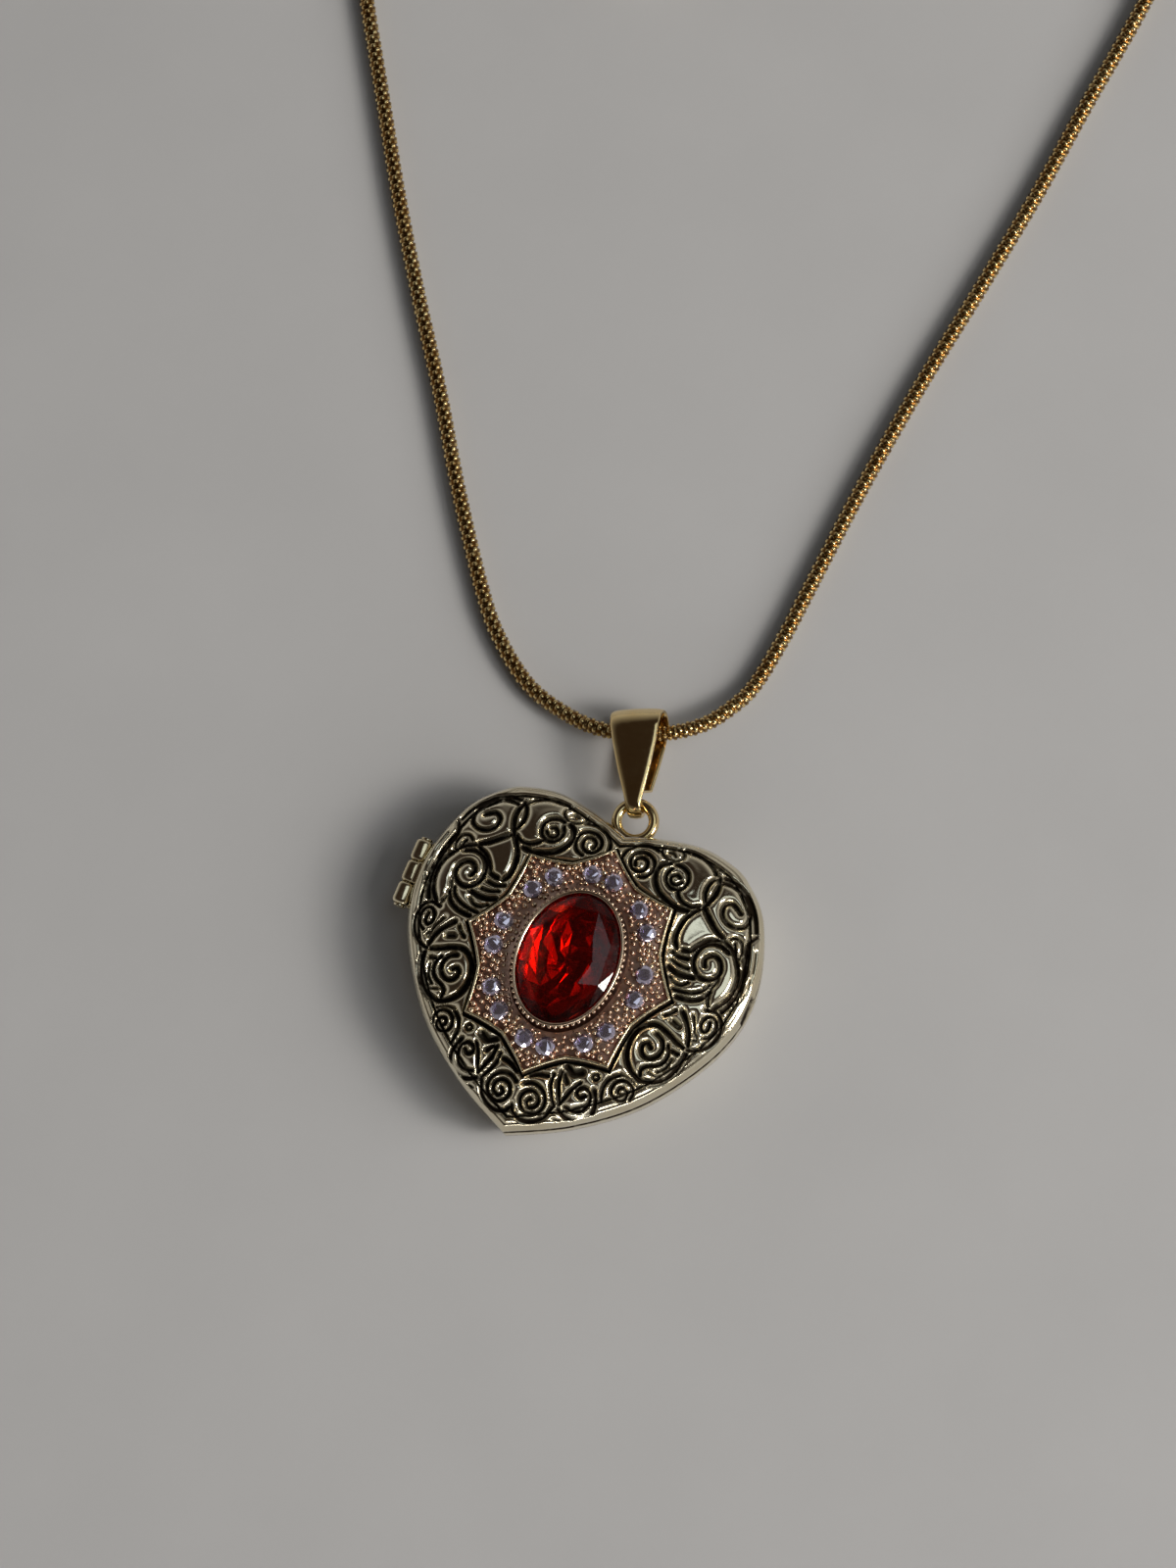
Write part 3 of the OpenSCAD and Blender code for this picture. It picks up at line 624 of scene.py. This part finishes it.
# the dome from the star to the rim, with the grooves pressed in and the bands between them puffed up
rows = 66
r_in = np.minimum(r_star + 0.02, r_out - 0.9)
levels = np.linspace(0, 1, rows)
R = r_in[None, :] + levels[:, None] * (r_out * 0.985 - r_in)[None, :]
X, Y = mid[0] + R * ux, mid[1] + R * uy
x, y = np.abs(X).ravel(), Y.ravel()
groove = np.zeros(len(x))
cavity = np.zeros(len(x))
nearest = np.full(len(x), far)
for w, depth, pts in GROOVES:
    d = near_line(x, y, spline(pts, 5))
    groove = np.maximum(groove, depth * np.exp(-((d / w) ** 2)))
    cavity = np.maximum(cavity, min(depth, 1.0) * np.exp(-((d / (w * 1.12)) ** 2)))
    nearest = np.minimum(nearest, np.maximum(d - w * 0.5, 0))
edge = (r_out[None, :] - R).ravel()
star_gap = (R - r_star[None, :]).ravel()
inside = np.clip((edge - 0.22) / 0.2, 0, 1)
groove, cavity = groove * inside, cavity * inside
frame_line = 1.02  # mm from the outline to the groove that frames the scrollwork
rim_line = np.exp(-(((edge - frame_line) / 0.12) ** 2)) * 0.9
hair_line = np.exp(-(((edge - 0.5) / 0.06) ** 2)) * 0.22
star_line = np.exp(-((star_gap / 0.2) ** 2)) * 1.1
groove = np.maximum.reduce([groove, rim_line, hair_line, star_line])
cavity = np.maximum.reduce([cavity, rim_line * 0.95, hair_line * 1.6, star_line])
rim_gap = np.maximum(np.abs(edge - frame_line) - 0.05, 0)
nearest = np.minimum.reduce([nearest, rim_gap, np.abs(star_gap)])
puff = 1 - np.exp(-((nearest / 0.3) ** 1.6))
# bands dish slightly between their raised edges
dish = 0.07 * (1 - np.exp(-((np.maximum(nearest - 0.28, 0) / 0.35) ** 2)))
relief = 0.30 * puff - dish - 0.30 * groove
fade = np.clip(edge / 0.3, 0, 1)
relief = np.where(edge < 1.0, 0.16 * fade - 0.3 * groove * fade, relief)
Z = (dome((R / r_out).ravel()) + relief).reshape(R.shape)
rings += list(np.stack([X, Y, Z], -1))
pat += list(np.clip(cavity, 0, 1).reshape(R.shape))

# the wall: share of the outline, height and how dark; its foot curls in at the seam, where the dark rows are
# painted shade
wall = [
    (0.994, 4.22, 0), (1.0, 4.05, 0), (1.002, 3.8, 0), (0.999, 3.62, 0), (0.994, 3.46, 0),
    (0.987, 3.3, 1), (0.979, 3.16, 1), (0.97, front_z0, 1), (0.96, front_z0, 1),
    (0.955, 3.1, 0), (0.955, 3.4, 0), (0.955, 3.9, 0),
]
for share, z, dark in wall:
    rings.append(ring_at(r_out * share, z))
    pat.append(np.full(N, float(dark)))
# the hollow inside
for share in (0.97, 0.9, 0.78, 0.6, 0.35, 0.1):
    rings.append(ring_at(r_out * 0.955 * share, rim_z - 0.1 + 1.75 * (1 - share**4) ** 0.6))
    pat.append(np.zeros(N))
# the notch's cut faces take painted shade
P, notch = pocket(np.array(rings), True)
pat = np.maximum(np.array(pat), notch)
piece("front_cover_relief", shell(P), "locket_front", ["front_cover"], cover_gold, sharp=60,
      attrs={"patina_and_shade": np.concatenate([pat.ravel(), [0, 0]])})

# ---- back cover ------------------------------------------------------------------------------------
N_back = 480
theta_back = np.linspace(0, 2 * math.pi, N_back, endpoint=False) + math.pi / 2
r_back = radius_along(outline, mid, theta_back)


def heart_ring(share, z):
    r = r_back * share
    x, y = mid[0] + r * np.cos(theta_back), mid[1] + r * np.sin(theta_back)
    return np.stack([x, y, np.full(N_back, z)], -1)


# from the middle of the back, up the wall, in over the rim and down the hollow
profile = [
    (0.3, 0.0), (0.6, 0.0), (0.78, 0.0), (0.82, 0.015), (0.855, 0.05), (0.885, 0.13), (0.915, 0.28),
    (0.94, 0.46), (0.962, 0.70), (0.98, 1.0), (0.992, 1.3), (1.0, 1.6), (1.0, 2.0), (1.0, 2.3), (1.0, 2.55),
    (1.0, 2.7), (0.998, 2.81), (0.99, 2.91), (0.976, seam_z), (0.965, seam_z), (0.956, 2.96), (0.955, 2.6),
    (0.955, 1.9), (0.95, 1.6), (0.92, 1.2), (0.86, 0.8), (0.74, 0.6), (0.5, 0.6), (0.2, 0.6),
]
P, notch = pocket(np.array([heart_ring(share, z) for share, z in profile]), False)
# painted shade in the seam between the covers
seam_shade = {0.998: 0.7, 0.99: 1.0, 0.976: 1.0}
pat = np.maximum(np.repeat([seam_shade.get(share, 0.0) for share, z in profile], N_back), notch.ravel())
piece("back_cover_shell", shell(P), "locket_back", ["back_cover"], cover_gold, sharp=50,
      attrs={"patina_and_shade": np.concatenate([pat, [0, 0]])})

# ---- star plate with beads, stones and bezel ---------------------------------------------------
star_edge = star_outline(-0.06)
ns = len(star_edge)
dir_s = star_edge - [0, star_y]
ang = np.arctan2(dir_s[:, 1], dir_s[:, 0])
hole = np.stack([(stone_x + 0.1) * np.cos(ang), star_y + (stone_y + 0.1) * np.sin(ang)], -1)


def star_ring(k, z, out=0.0):
    """Ring between the plate's hole (k 0) and its edge (k 1), pulled in by out millimetres."""
    p = hole + (star_edge - hole) * k
    d = dir_s / np.linalg.norm(dir_s, axis=1)[:, None]
    p = p - d * out
    return np.concatenate([p, np.broadcast_to(np.asarray(z, float), (ns,))[:, None]], 1)


# place, height, pulled in by, how dark: up from the hole, over the plate, then the raised border; the darks
# are painted shade on the plate between the beads, at the border's inner foot and down its outer side
star_section = (
    (0, 6.2, 0, 0), (0, 6.45, 0, 0), (0.06, 6.5, 0, 0.5), (0.2, 6.52, 0, 0.5), (0.4, 6.53, 0, 0.5),
    (0.6, 6.52, 0, 0.5), (0.8, 6.5, 0, 0.5), (1, 6.46, 0.40, 0.7), (1, 6.46, 0.32, 0.9), (1, 6.6, 0.27, 0.5),
    (1, 6.7, 0.22, 0), (1, 6.74, 0.16, 0), (1, 6.73, 0.08, 0), (1, 6.68, 0.02, 0), (1, 6.58, 0, 0),
    (1, 6.35, 0, 0.3), (1, 6.2, 0, 0.6),
)
star_shell = shell([star_ring(k, z, out) for k, z, out, dark in star_section], "loop")
pats = [np.repeat([float(dark) for k, z, out, dark in star_section], ns)]
trims = [np.repeat([1.0 if k == 1 and z > 6.5 else 0.0 for k, z, out, dark in star_section], ns)]
pave = []
for i in range(16):
    lobe = i // 2
    a = (45 * lobe + (-8.5 if i % 2 == 0 else 8.5)) * DEG
    pave.append((6.0 * math.sin(a), star_y + 7.05 * math.cos(a)))
pave = np.array(pave)
spots = []


def bead_ok(p, r):
    """Whether a bead of radius r at p is clear of the small stones, the bezel and the other beads."""
    if np.min(np.linalg.norm(pave - p, axis=1)) < 0.74 + r * 0.55:
        return False
    if (p[0] / (stone_x + 0.5 + r)) ** 2 + ((p[1] - star_y) / (stone_y + 0.5 + r)) ** 2 < 1:
        return False
    return all((p[0] - q[0]) ** 2 + (p[1] - q[1]) ** 2 > (0.85 * (r + q[2])) ** 2 for q in spots)


# first a few beads that grip each stone, then as many as find room
for c in pave:
    for k in range(6):
        a = 2 * math.pi * k / 6 + rng.uniform(0, 0.8)
        r = rng.uniform(0.2, 0.28)
        p = c + (0.76 + r * 0.55) * np.array([math.cos(a), math.sin(a)])
        if bead_ok(p, r):
            spots.append((p[0], p[1], r))
inner = star_outline(-0.46)
tries = 9000
for _ in range(tries):
    p = np.array([rng.uniform(-8.2, 8.2), star_y + rng.uniform(-9.2, 9.2)])
    r = rng.uniform(0.15, 0.27)
    lim = radius_along(inner, np.array([0, star_y]), np.array([math.atan2(p[1] - star_y, p[0])]))[0]
    if math.hypot(p[0], p[1] - star_y) < lim + 0.08 - r * 0.3 and bead_ok(p, r):
        spots.append((p[0], p[1], r))
beads = [ball(np.array([px, py, 6.56 + 0.25 * r]), r, stretch=1.15) for px, py, r in spots]
# painted shade: each bead darkens towards its foot on the plate
pats += [np.clip((6.62 - b[0][:, 2]) / 0.12, 0, 0.8) for b in beads]
trims += [np.full(len(b[0]), rng.uniform(0, 0.7)) for b in beads]
piece("star_plate_beaded", [star_shell] + beads, "locket_front", ["star_plate"], star_rose,
      sharp=50, attrs={"patina_and_shade": np.concatenate(pats), "trim": np.concatenate(trims)})


def hull(points, name):
    """Flat-faceted convex mesh round the points."""
    bm = bmesh.new()
    for p in points:
        bm.verts.new(p)
    out = bmesh.ops.convex_hull(bm, input=bm.verts)
    buried = [v for v in out["geom_interior"] if isinstance(v, bmesh.types.BMVert)]
    bmesh.ops.delete(bm, geom=buried, context="VERTS")
    bmesh.ops.dissolve_limit(bm, angle_limit=1.0 * DEG, verts=bm.verts, edges=bm.edges)
    me = bpy.data.meshes.new(name)
    bm.to_mesh(me)
    bm.free()
    return me


def oval(share, z, n, start=0.0, a=1.0, b=1.0):
    """Points in metres round an oval with half-axes a and b."""
    angles = [start + 2 * math.pi * i / n for i in range(n)]
    return [(a * share * math.cos(t) / 1000, b * share * math.sin(t) / 1000, z / 1000) for t in angles]


# small stones: radius, height and number of corners, each corner a little off its place
small_levels = (
    (0.3, 0.3, 6), (0.5, 0.24, 9), (0.66, 0.12, 11), (0.75, 0.0, 14), (0.75, -0.04, 14), (0.5, -0.2, 8),
)
small = []
for share, z, count in small_levels:
    small += [(x + rng.uniform(-3e-5, 3e-5), y + rng.uniform(-3e-5, 3e-5), h + rng.uniform(-2.5e-5, 2.5e-5))
              for x, y, h in oval(share, z, count, rng.uniform(0, 1))]
small_me = hull(small, "small_stone")
small_me.materials.append(lilac_glass)
for i, (px, py) in enumerate(pave):
    o = bpy.data.objects.new(f"pave_stone_look_{i + 1:02d}", small_me)
    COL.objects.link(o)
    turned = place(px / 1000, py / 1000, 0.0068, float(rng.uniform(0, 360)))
    o.matrix_world = turned @ Matrix.Rotation(float(rng.uniform(-6, 6)) * DEG, 4, "X")
    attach(o, "locket_front")
    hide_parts(f"pave_stone_{i + 1:02d}")

# the oval stone: share of its outline, height above the girdle, corners, and their turn in steps
big_levels = (
    (0.50, 1.0, 8, 0), (0.79, 0.70, 8, 0.5), (0.965, 0.22, 16, 0), (1.0, 0.05, 48, 0), (1.0, -0.06, 48, 0),
    (0.80, -0.24, 16, 0.5), (0.45, -0.36, 12, 0),
)
big = []
for share, z, count, turn in big_levels:
    big += oval(share, z, count, 0.1 + turn * 2 * math.pi / count, stone_x, stone_y)
big_me = hull(big, "oval_stone")
big_me.materials.append(red_glass)
o = bpy.data.objects.new("centre_stone_faceted", big_me)
COL.objects.link(o)
o.location = (0, star_y / 1000, 0.0072)
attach(o, "locket_front")
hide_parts("centre_stone")

# its foiled back: rows of small tilted facets, the first and the last row even
foil = []
count = 16
foil_shares = (0.99, 0.90, 0.74, 0.57, 0.40, 0.22, 0.08)
for row, share in enumerate(foil_shares):
    uneven = 0 < row < len(foil_shares) - 1
    steps = np.arange(count) + 0.5 * (row % 2) + (rng.uniform(-0.28, 0.28, count) if uneven else 0)
    a = 2 * math.pi * steps / count
    z = 7.06 - 0.66 * (1 - share) ** 0.8 + (rng.uniform(-0.15, 0.15, count) if uneven else 0)
    z = np.minimum(z, 6.8 + 0.34 * share**2) if row else z
    x, y = stone_x * share * np.cos(a), star_y + stone_y * share * np.sin(a)
    foil.append(np.stack([x, y, np.broadcast_to(z, a.shape)], -1))
base = np.array(foil[0])
base[:, 2] = 6.25
foot = base * [0.8, 0.8, 1] + [0, 0.2 * star_y, 0]
piece("centre_stone_foil", shell([foot, base] + foil), "locket_front", [], red_foil, flat=True)

# bezel: how far outside the stone, height and how dark
bezel_section = (
    (0.03, 6.5, 0.5), (0.03, 7.0, 0.5), (0.02, 7.35, 0.4), (-0.1, 7.48, 0.1), (-0.12, 7.56, 0),
    (-0.04, 7.62, 0), (0.06, 7.62, 0.1), (0.12, 7.56, 0.5), (0.16, 7.4, 0.9), (0.22, 7.2, 1),
    (0.3, 6.9, 1), (0.42, 6.5, 1),
)
nb = 192
bx, by = circle(nb)
rings = []
for grow, z, dark in bezel_section:
    rings.append(np.stack([(stone_x + grow) * bx, star_y + (stone_y + grow) * by, np.full(nb, z)], -1))
bezel = [shell(rings, "loop")]
bezel_dark = [np.repeat([float(dark) for grow, z, dark in bezel_section], nb)]
# its row of beads, evenly spaced along the oval
milgrain = 66
around = np.linspace(0, 2 * math.pi, 2000)
hops = np.hypot(np.diff((stone_x + 0.23) * np.cos(around)), np.diff((stone_y + 0.23) * np.sin(around)))
run = np.concatenate([[0], np.cumsum(hops)])
for i in range(milgrain):
    a = np.interp(run[-1] * i / milgrain, run, around)
    c = np.array([(stone_x + 0.17) * math.cos(a), star_y + (stone_y + 0.17) * math.sin(a), 7.4])
    bezel.append(ball(c, 0.165, 12, 7, stretch=1.1))
    bezel_dark.append(np.zeros(len(bezel[-1][0])))
piece("bezel_milgrain", bezel, "locket_front", ["bezel"], bezel_gold, sharp=60,
      attrs={"patina_and_shade": np.concatenate(bezel_dark)})

# ---- hinge --------------------------------------------------------------------------------------------
def slab(x0, x1, y0, y1, z0, z1, r):
    """Block with rounded edges along Y and softened ends."""
    n = 48
    a = (np.arange(n) + 0.5) * 2 * math.pi / n
    sx, sz = np.sign(np.cos(a)), np.sign(np.sin(a))
    half_x, half_z = (x1 - x0) / 2, (z1 - z0) / 2
    rings = []
    ends = ((0, r), (0.3 * r, 0.3 * r), (r, 0))
    for y, e in [(y0 + d, e) for d, e in ends] + [(y1 - d, e) for d, e in reversed(ends)]:
        X = (x0 + x1) / 2 + sx * (half_x - r - e * 0.5) + r * np.cos(a)
        Z = (z0 + z1) / 2 + sz * (half_z - r - e * 0.5) + r * np.sin(a)
        rings.append(np.stack([X, np.full(n, y), Z], -1))
    return shell(np.array(rings))


def knuckle(i, side):
    """Knuckle i from the foot, bored for the pin and squarish outside, with its leaf on one cover's side."""
    n = 64
    kx, kz = circle(n)
    square = np.where(kx < 0, (np.abs(kx) ** 3 + np.abs(kz) ** 3) ** (-1 / 3), 1.0)
    bore = 0.33
    rounding = ((0, 0.5), (0.03, 0.59), (0.1, 0.66), (0.2, 0.71), (0.34, 0.73))
    section = [(0, bore), *rounding, *((knuckle_length - y, r) for y, r in reversed(rounding)),
               (knuckle_length, bore), (knuckle_length / 2, bore)]
    y0 = hinge_y + i * (knuckle_length + knuckle_gap)
    rings = []
    for y, r in section:
        k = square if r > bore else 1.0
        rings.append(np.stack([hinge_x + r * k * kx, np.full(n, y0 + y), hinge_z + r * k * kz], -1))
    z0, z1 = (0.2, 0.95) if side > 0 else (-0.95, -0.2)
    y1 = y0 + knuckle_length
    leaf = slab(hinge_x + 0.25, -13.72, y0 + 0.02, y1 - 0.02, hinge_z + z0, hinge_z + z1, 0.12)
    return [shell(np.array(rings), "loop"), leaf]


for i, side, name, body in (
    (2, -1, "hinge_knuckle_upper", "locket_back"),
    (0, -1, "hinge_knuckle_lower", "locket_back"),
    (1, 1, "hinge_knuckle_middle", "locket_front"),
):
    piece(name + "_rounded", knuckle(i, side), body, [name], plain_gold, sharp=40)
pin_end = 3 * knuckle_length + 2 * knuckle_gap
pin = lathe([
    (-0.27, 0.2), (-0.25, 0.38), (-0.2, 0.47), (-0.1, 0.5), (-0.05, 0.48), (-0.05, 0.3), (pin_end / 2, 0.3),
    (pin_end + 0.05, 0.3), (pin_end + 0.05, 0.48), (pin_end + 0.1, 0.5), (pin_end + 0.2, 0.47),
    (pin_end + 0.25, 0.38), (pin_end + 0.27, 0.2),
], 32)
piece("hinge_pin_riveted", moved(pin, place(hinge_x, hinge_y, hinge_z, 90)), "locket_back", ["hinge_pin"],
      plain_gold)

# ---- hanging loop and bail ---------------------------------------------------------------------------
loop_r, loop_y, loop_z = 1.48, 11.65, 2.5
loop = torus(loop_r, 0.43, 96, 24)
nn = 32
nx, nz = circle(nn)
# its soldered foot: y, half-width and half-height
foot_section = (
    (9.62, 0.95, 0.42), (9.8, 0.88, 0.42), (9.95, 0.68, 0.41), (10.12, 0.55, 0.4), (10.3, 0.5, 0.37),
)
neck = [np.stack([w * nx, np.full(nn, y), loop_z + h * nz], -1) for y, w, h in foot_section]
piece("hanging_loop_soldered", [moved(loop, place(0, loop_y, loop_z)), shell(np.array(neck))], "locket_back",
      ["hanging_loop"], ring_gold, sharp=50)

# the bail hooks over the loop's wire; half its width is given along the strap from there
hang = 20 * DEG
wire = np.array([-loop_r * math.sin(hang), loop_y + loop_r * math.cos(hang), loop_z])
widths = [(-1.3, 0.56), (-0.3, 0.62), (0.7, 0.86), (2.8, 1.38), (4.9, 1.82), (6.9, 2.1), (8.2, 2.18)]
thick, r_hook, r_fold, length = 0.4, 0.95, 1.55, 6.0
lean = math.asin((r_fold - r_hook) / length)


def strap_line():
    """Middle line of the strap from its back end, over the fold and down the front, round into the hook."""
    pts = []
    outward = np.array([-math.sin(lean), -math.cos(lean)])
    low_a = r_hook * outward
    low_b = np.array([length, 0]) + r_fold * outward
    k0 = (1.3 - low_a[0]) / (low_b[0] - low_a[0])
    for k in np.linspace(k0, 1, 14, endpoint=False):
        pts.append(low_a + (low_b - low_a) * k)
    for a in np.linspace(-90 - lean / DEG, 90 + lean / DEG, 40):
        pts.append(np.array([length + r_fold * math.cos(a * DEG), r_fold * math.sin(a * DEG)]))
    up_a, up_b = low_a * [1, -1], low_b * [1, -1]
    for k in np.linspace(1, 0, 22)[1:-1]:
        pts.append(up_a + (up_b - up_a) * k)
    for a in np.linspace(90 + lean / DEG, 270 - lean / DEG, 30):
        pts.append(np.array([r_hook * math.cos(a * DEG), r_hook * math.sin(a * DEG)]))
    pts.append(low_a + (low_b - low_a) * ((0.3 - low_a[0]) / (low_b[0] - low_a[0])))
    return np.array(pts)


strap_middle = strap_line()
direction = np.gradient(strap_middle, axis=0)
direction /= np.linalg.norm(direction, axis=1)[:, None]
outside = np.stack([direction[:, 1], -direction[:, 0]], -1)
# the section is a rounded oblong, crowned by this much on its outside
strap_sides, crown = 28, 0.09
turn = np.arange(strap_sides) * 2 * math.pi / strap_sides
across = np.sign(np.cos(turn)) * np.abs(np.cos(turn)) ** 0.45
through = np.sign(np.sin(turn)) * np.abs(np.sin(turn)) ** 0.6
off = thick / 2 * through + np.where(through > 0, crown * (1 - across**2), 0)
rings = []
for p, q in zip(strap_middle, outside):
    half_width = np.interp(p[0], *zip(*widths))
    rings.append(np.stack([p[0] + q[0] * off, half_width * across, p[1] + q[1] * off], -1))
strap = shell(np.array(rings))
# turned on the floor, tipped a little, then rolled about its own length
at_wire = place(*wire, 110) @ Matrix.Rotation(3.2 * DEG, 4, "Y") @ Matrix.Rotation(-11 * DEG, 4, "X")
piece("bail_folded", moved(strap, at_wire), "bail", ["bail"], ring_gold, sharp=50)

# ---- chain ends and rings --------------------------------------------------------------------------------
# (distance, radius): out of the bore, round the lip, along the barrel and in over the far end
cap_profile = [
    (3.0, 0.3), (3.0, 0.66), (1.5, 0.71), (0.12, 0.72), (0.03, 0.76), (0.0, 0.86), (0.03, 0.98), (0.12, 1.05),
    (0.35, 1.05), (0.45, 1.0), (0.55, 0.96), (0.7, 0.97), (2.0, 1.0), (3.1, 0.97), (3.3, 0.98), (3.38, 1.04),
    (3.55, 1.05), (3.68, 1.0), (3.78, 0.88), (3.95, 0.72), (4.1, 0.5), (4.2, 0.36),
]
eye_at = 5.05  # from a cap's lip to the middle of its eye


def end_cap(name, node, matrix, eye_turn):
    """Cap with its eye, which is turned about the cap's own line."""
    eye_ring = moved(torus(0.85, 0.25, 72, 18), place(eye_at, 0, 0, eye_turn, "X"))
    parts = [moved(p, matrix) for p in (lathe(cap_profile, 56), eye_ring)]
    piece(name, parts, "chain", [node], ring_gold, sharp=45)


end_cap("end_cap_clasp_look", "end_cap_clasp", place(clasp_cap_x, clasp_cap_y, cap_z), 0)
end_cap("end_cap_ring_look", "end_cap_ring", place(ring_cap_x, ring_cap_y, cap_z, 90), 90)
jump_r, jump_z = 1.25, 1.5
jump_x = clasp_cap_x + eye_at + math.sqrt(jump_r**2 - (jump_z - cap_z) ** 2)
jump_at = place(jump_x, clasp_cap_y, jump_z, 90, "X") @ Matrix.Rotation(100 * DEG, 4, "Z")
piece("jump_ring_look", moved(torus(jump_r, 0.25, 96, 18, gap=0.05), jump_at), "jump_ring", ["jump_ring"],
      ring_gold)
closing_r = 2.0
closing_at = place(ring_cap_x, ring_cap_y + eye_at, cap_z, 90) @ Matrix.Rotation(10.5 * DEG, 4, "Y")
closing_at = closing_at @ Matrix.Translation((closing_r, 0, 0)) @ Matrix.Rotation(35 * DEG, 4, "Z")
piece("closing_ring_look", moved(torus(closing_r, 0.3, 112, 20, gap=0.035), closing_at), "closing_ring",
      ["closing_ring"], ring_gold)


# ---- small parts that keep their CAD shape ------------------------------------------------------------
def coat(node, mat):
    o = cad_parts[node]
    for slot in o.material_slots:
        slot.material = mat
    return o


def tumble(node, mat, voxel, rounds):
    """Rounds a cast part all over, as tumbling does."""
    o = coat(node, mat)
    grid = o.modifiers.new("grid", "REMESH")
    grid.mode = "VOXEL"
    grid.voxel_size = voxel
    grid.use_smooth_shade = True
    soft = o.modifiers.new("tumbled", "SMOOTH")
    soft.factor = 0.5
    soft.iterations = rounds


def ease_edges(node, mat, width):
    b = coat(node, mat).modifiers.new("edges", "BEVEL")
    b.width = width
    b.segments = 3
    b.limit_method = "ANGLE"
    b.angle_limit = 35 * DEG
    b.harden_normals = False


tumble("clasp_body", ring_gold, 0.00009, 9)
tumble("clasp_lever", ring_gold, 0.00007, 6)
ease_edges("clasp_rivet", ring_gold, 0.00004)
ease_edges("clasp_spring", spring_steel, 0.00005)
ease_edges("catch_tongue", plain_gold, 0.00005)
for node, mat in (("coil_tie_1", tie_paper), ("coil_tie_2", tie_paper),
                  ("photo_frame_back", plain_gold), ("photo_frame_front", plain_gold)):
    ease_edges(node, mat, 0.00006)

# ---- floor and light --------------------------------------------------------------------------------------
paper, nt, bsdf, coord = material("floor_paper")
tone = blend_colour(nt, noise(nt, coord, 60, 3), (0.42, 0.42, 0.425), (0.38, 0.38, 0.385))
nt.links.new(tone, bsdf.inputs["Base Color"])
nt.links.new(remap(nt, noise(nt, coord, 900, 3), 0.3, 0.7, 0.78, 0.9), bsdf.inputs["Roughness"])
bsdf.inputs["Specular IOR Level"].default_value = 0.25
bump(nt, bsdf, noise(nt, coord, 1500, 3), 0.000004)
half_floor = 1.5
corners = [(x * half_floor, y * half_floor, 0) for x, y in ((-1, -1), (1, -1), (1, 1), (-1, 1))]
me = bpy.data.meshes.new("floor")
me.from_pydata(corners, [], [(0, 1, 2, 3)])
me.materials.append(paper)
floor = bpy.data.objects.new("floor", me)
COL.objects.link(floor)
floor.location = (0, 0, -0.00002)


def soft_box(name, direction, distance, size, power, colour=(1, 1, 1), size_y=None, mirrored=True):
    """Area light that faces the locket from a direction."""
    d = bpy.data.lights.new(name, "AREA")
    d.shape = "RECTANGLE"
    d.size = size
    d.size_y = size_y or size
    d.energy = power
    d.color = colour
    o = bpy.data.objects.new(name, d)
    v = Vector(unit(direction)) * distance
    o.location = v
    o.rotation_euler = v.to_track_quat("Z", "Y").to_euler()
    o.visible_glossy = mirrored
    COL.objects.link(o)


# one broad light from the right of the picture, which metal mirrors as a weaker glow with a bright middle;
# a cool window near overhead and a low strip from the foot of the picture; the rest of overhead stays dark
key_from = right - up * 0.3 + np.array([0, 0, 0.8])
window_from = right * 0.44 - up * 0.14 + np.array([-0.16, 0.2, 1.0])
foot_from = right * 0.3 - up + np.array([0, 0, 0.5])
warm, warmer, cool = (1.0, 0.97, 0.93), (1.0, 0.95, 0.88), (0.84, 0.95, 1.0)
light_off = 1.2  # metres from the locket
soft_box("key", key_from, light_off, 0.9, 11.5, warm, mirrored=False)
soft_box("key_glow", key_from, light_off, 0.9, 6.0, warm)
soft_box("key_spark", key_from, light_off - 0.1, 0.27, 6.5, warmer)
soft_box("window", window_from, light_off, 0.62, 1.0, cool)
soft_box("low_front", foot_from, light_off, 0.8, 2.6, size_y=0.12)
world = bpy.data.worlds.new("studio")
world.use_nodes = True
wt = world.node_tree
sky = wt.nodes.new("ShaderNodeTexCoord")
split = wt.nodes.new("ShaderNodeSeparateXYZ")
wt.links.new(sky.outputs["Generated"], split.inputs["Vector"])
lift = remap(wt, split.outputs["Z"], 0.05, 0.75, 0, 1)
horizon, overhead = (0.40, 0.39, 0.37), (0.027, 0.019, 0.014)
wt.links.new(blend_colour(wt, lift, horizon, overhead), wt.nodes["Background"].inputs["Color"])
bpy.context.scene.world = world
bpy.context.scene.view_settings.view_transform = "Standard"
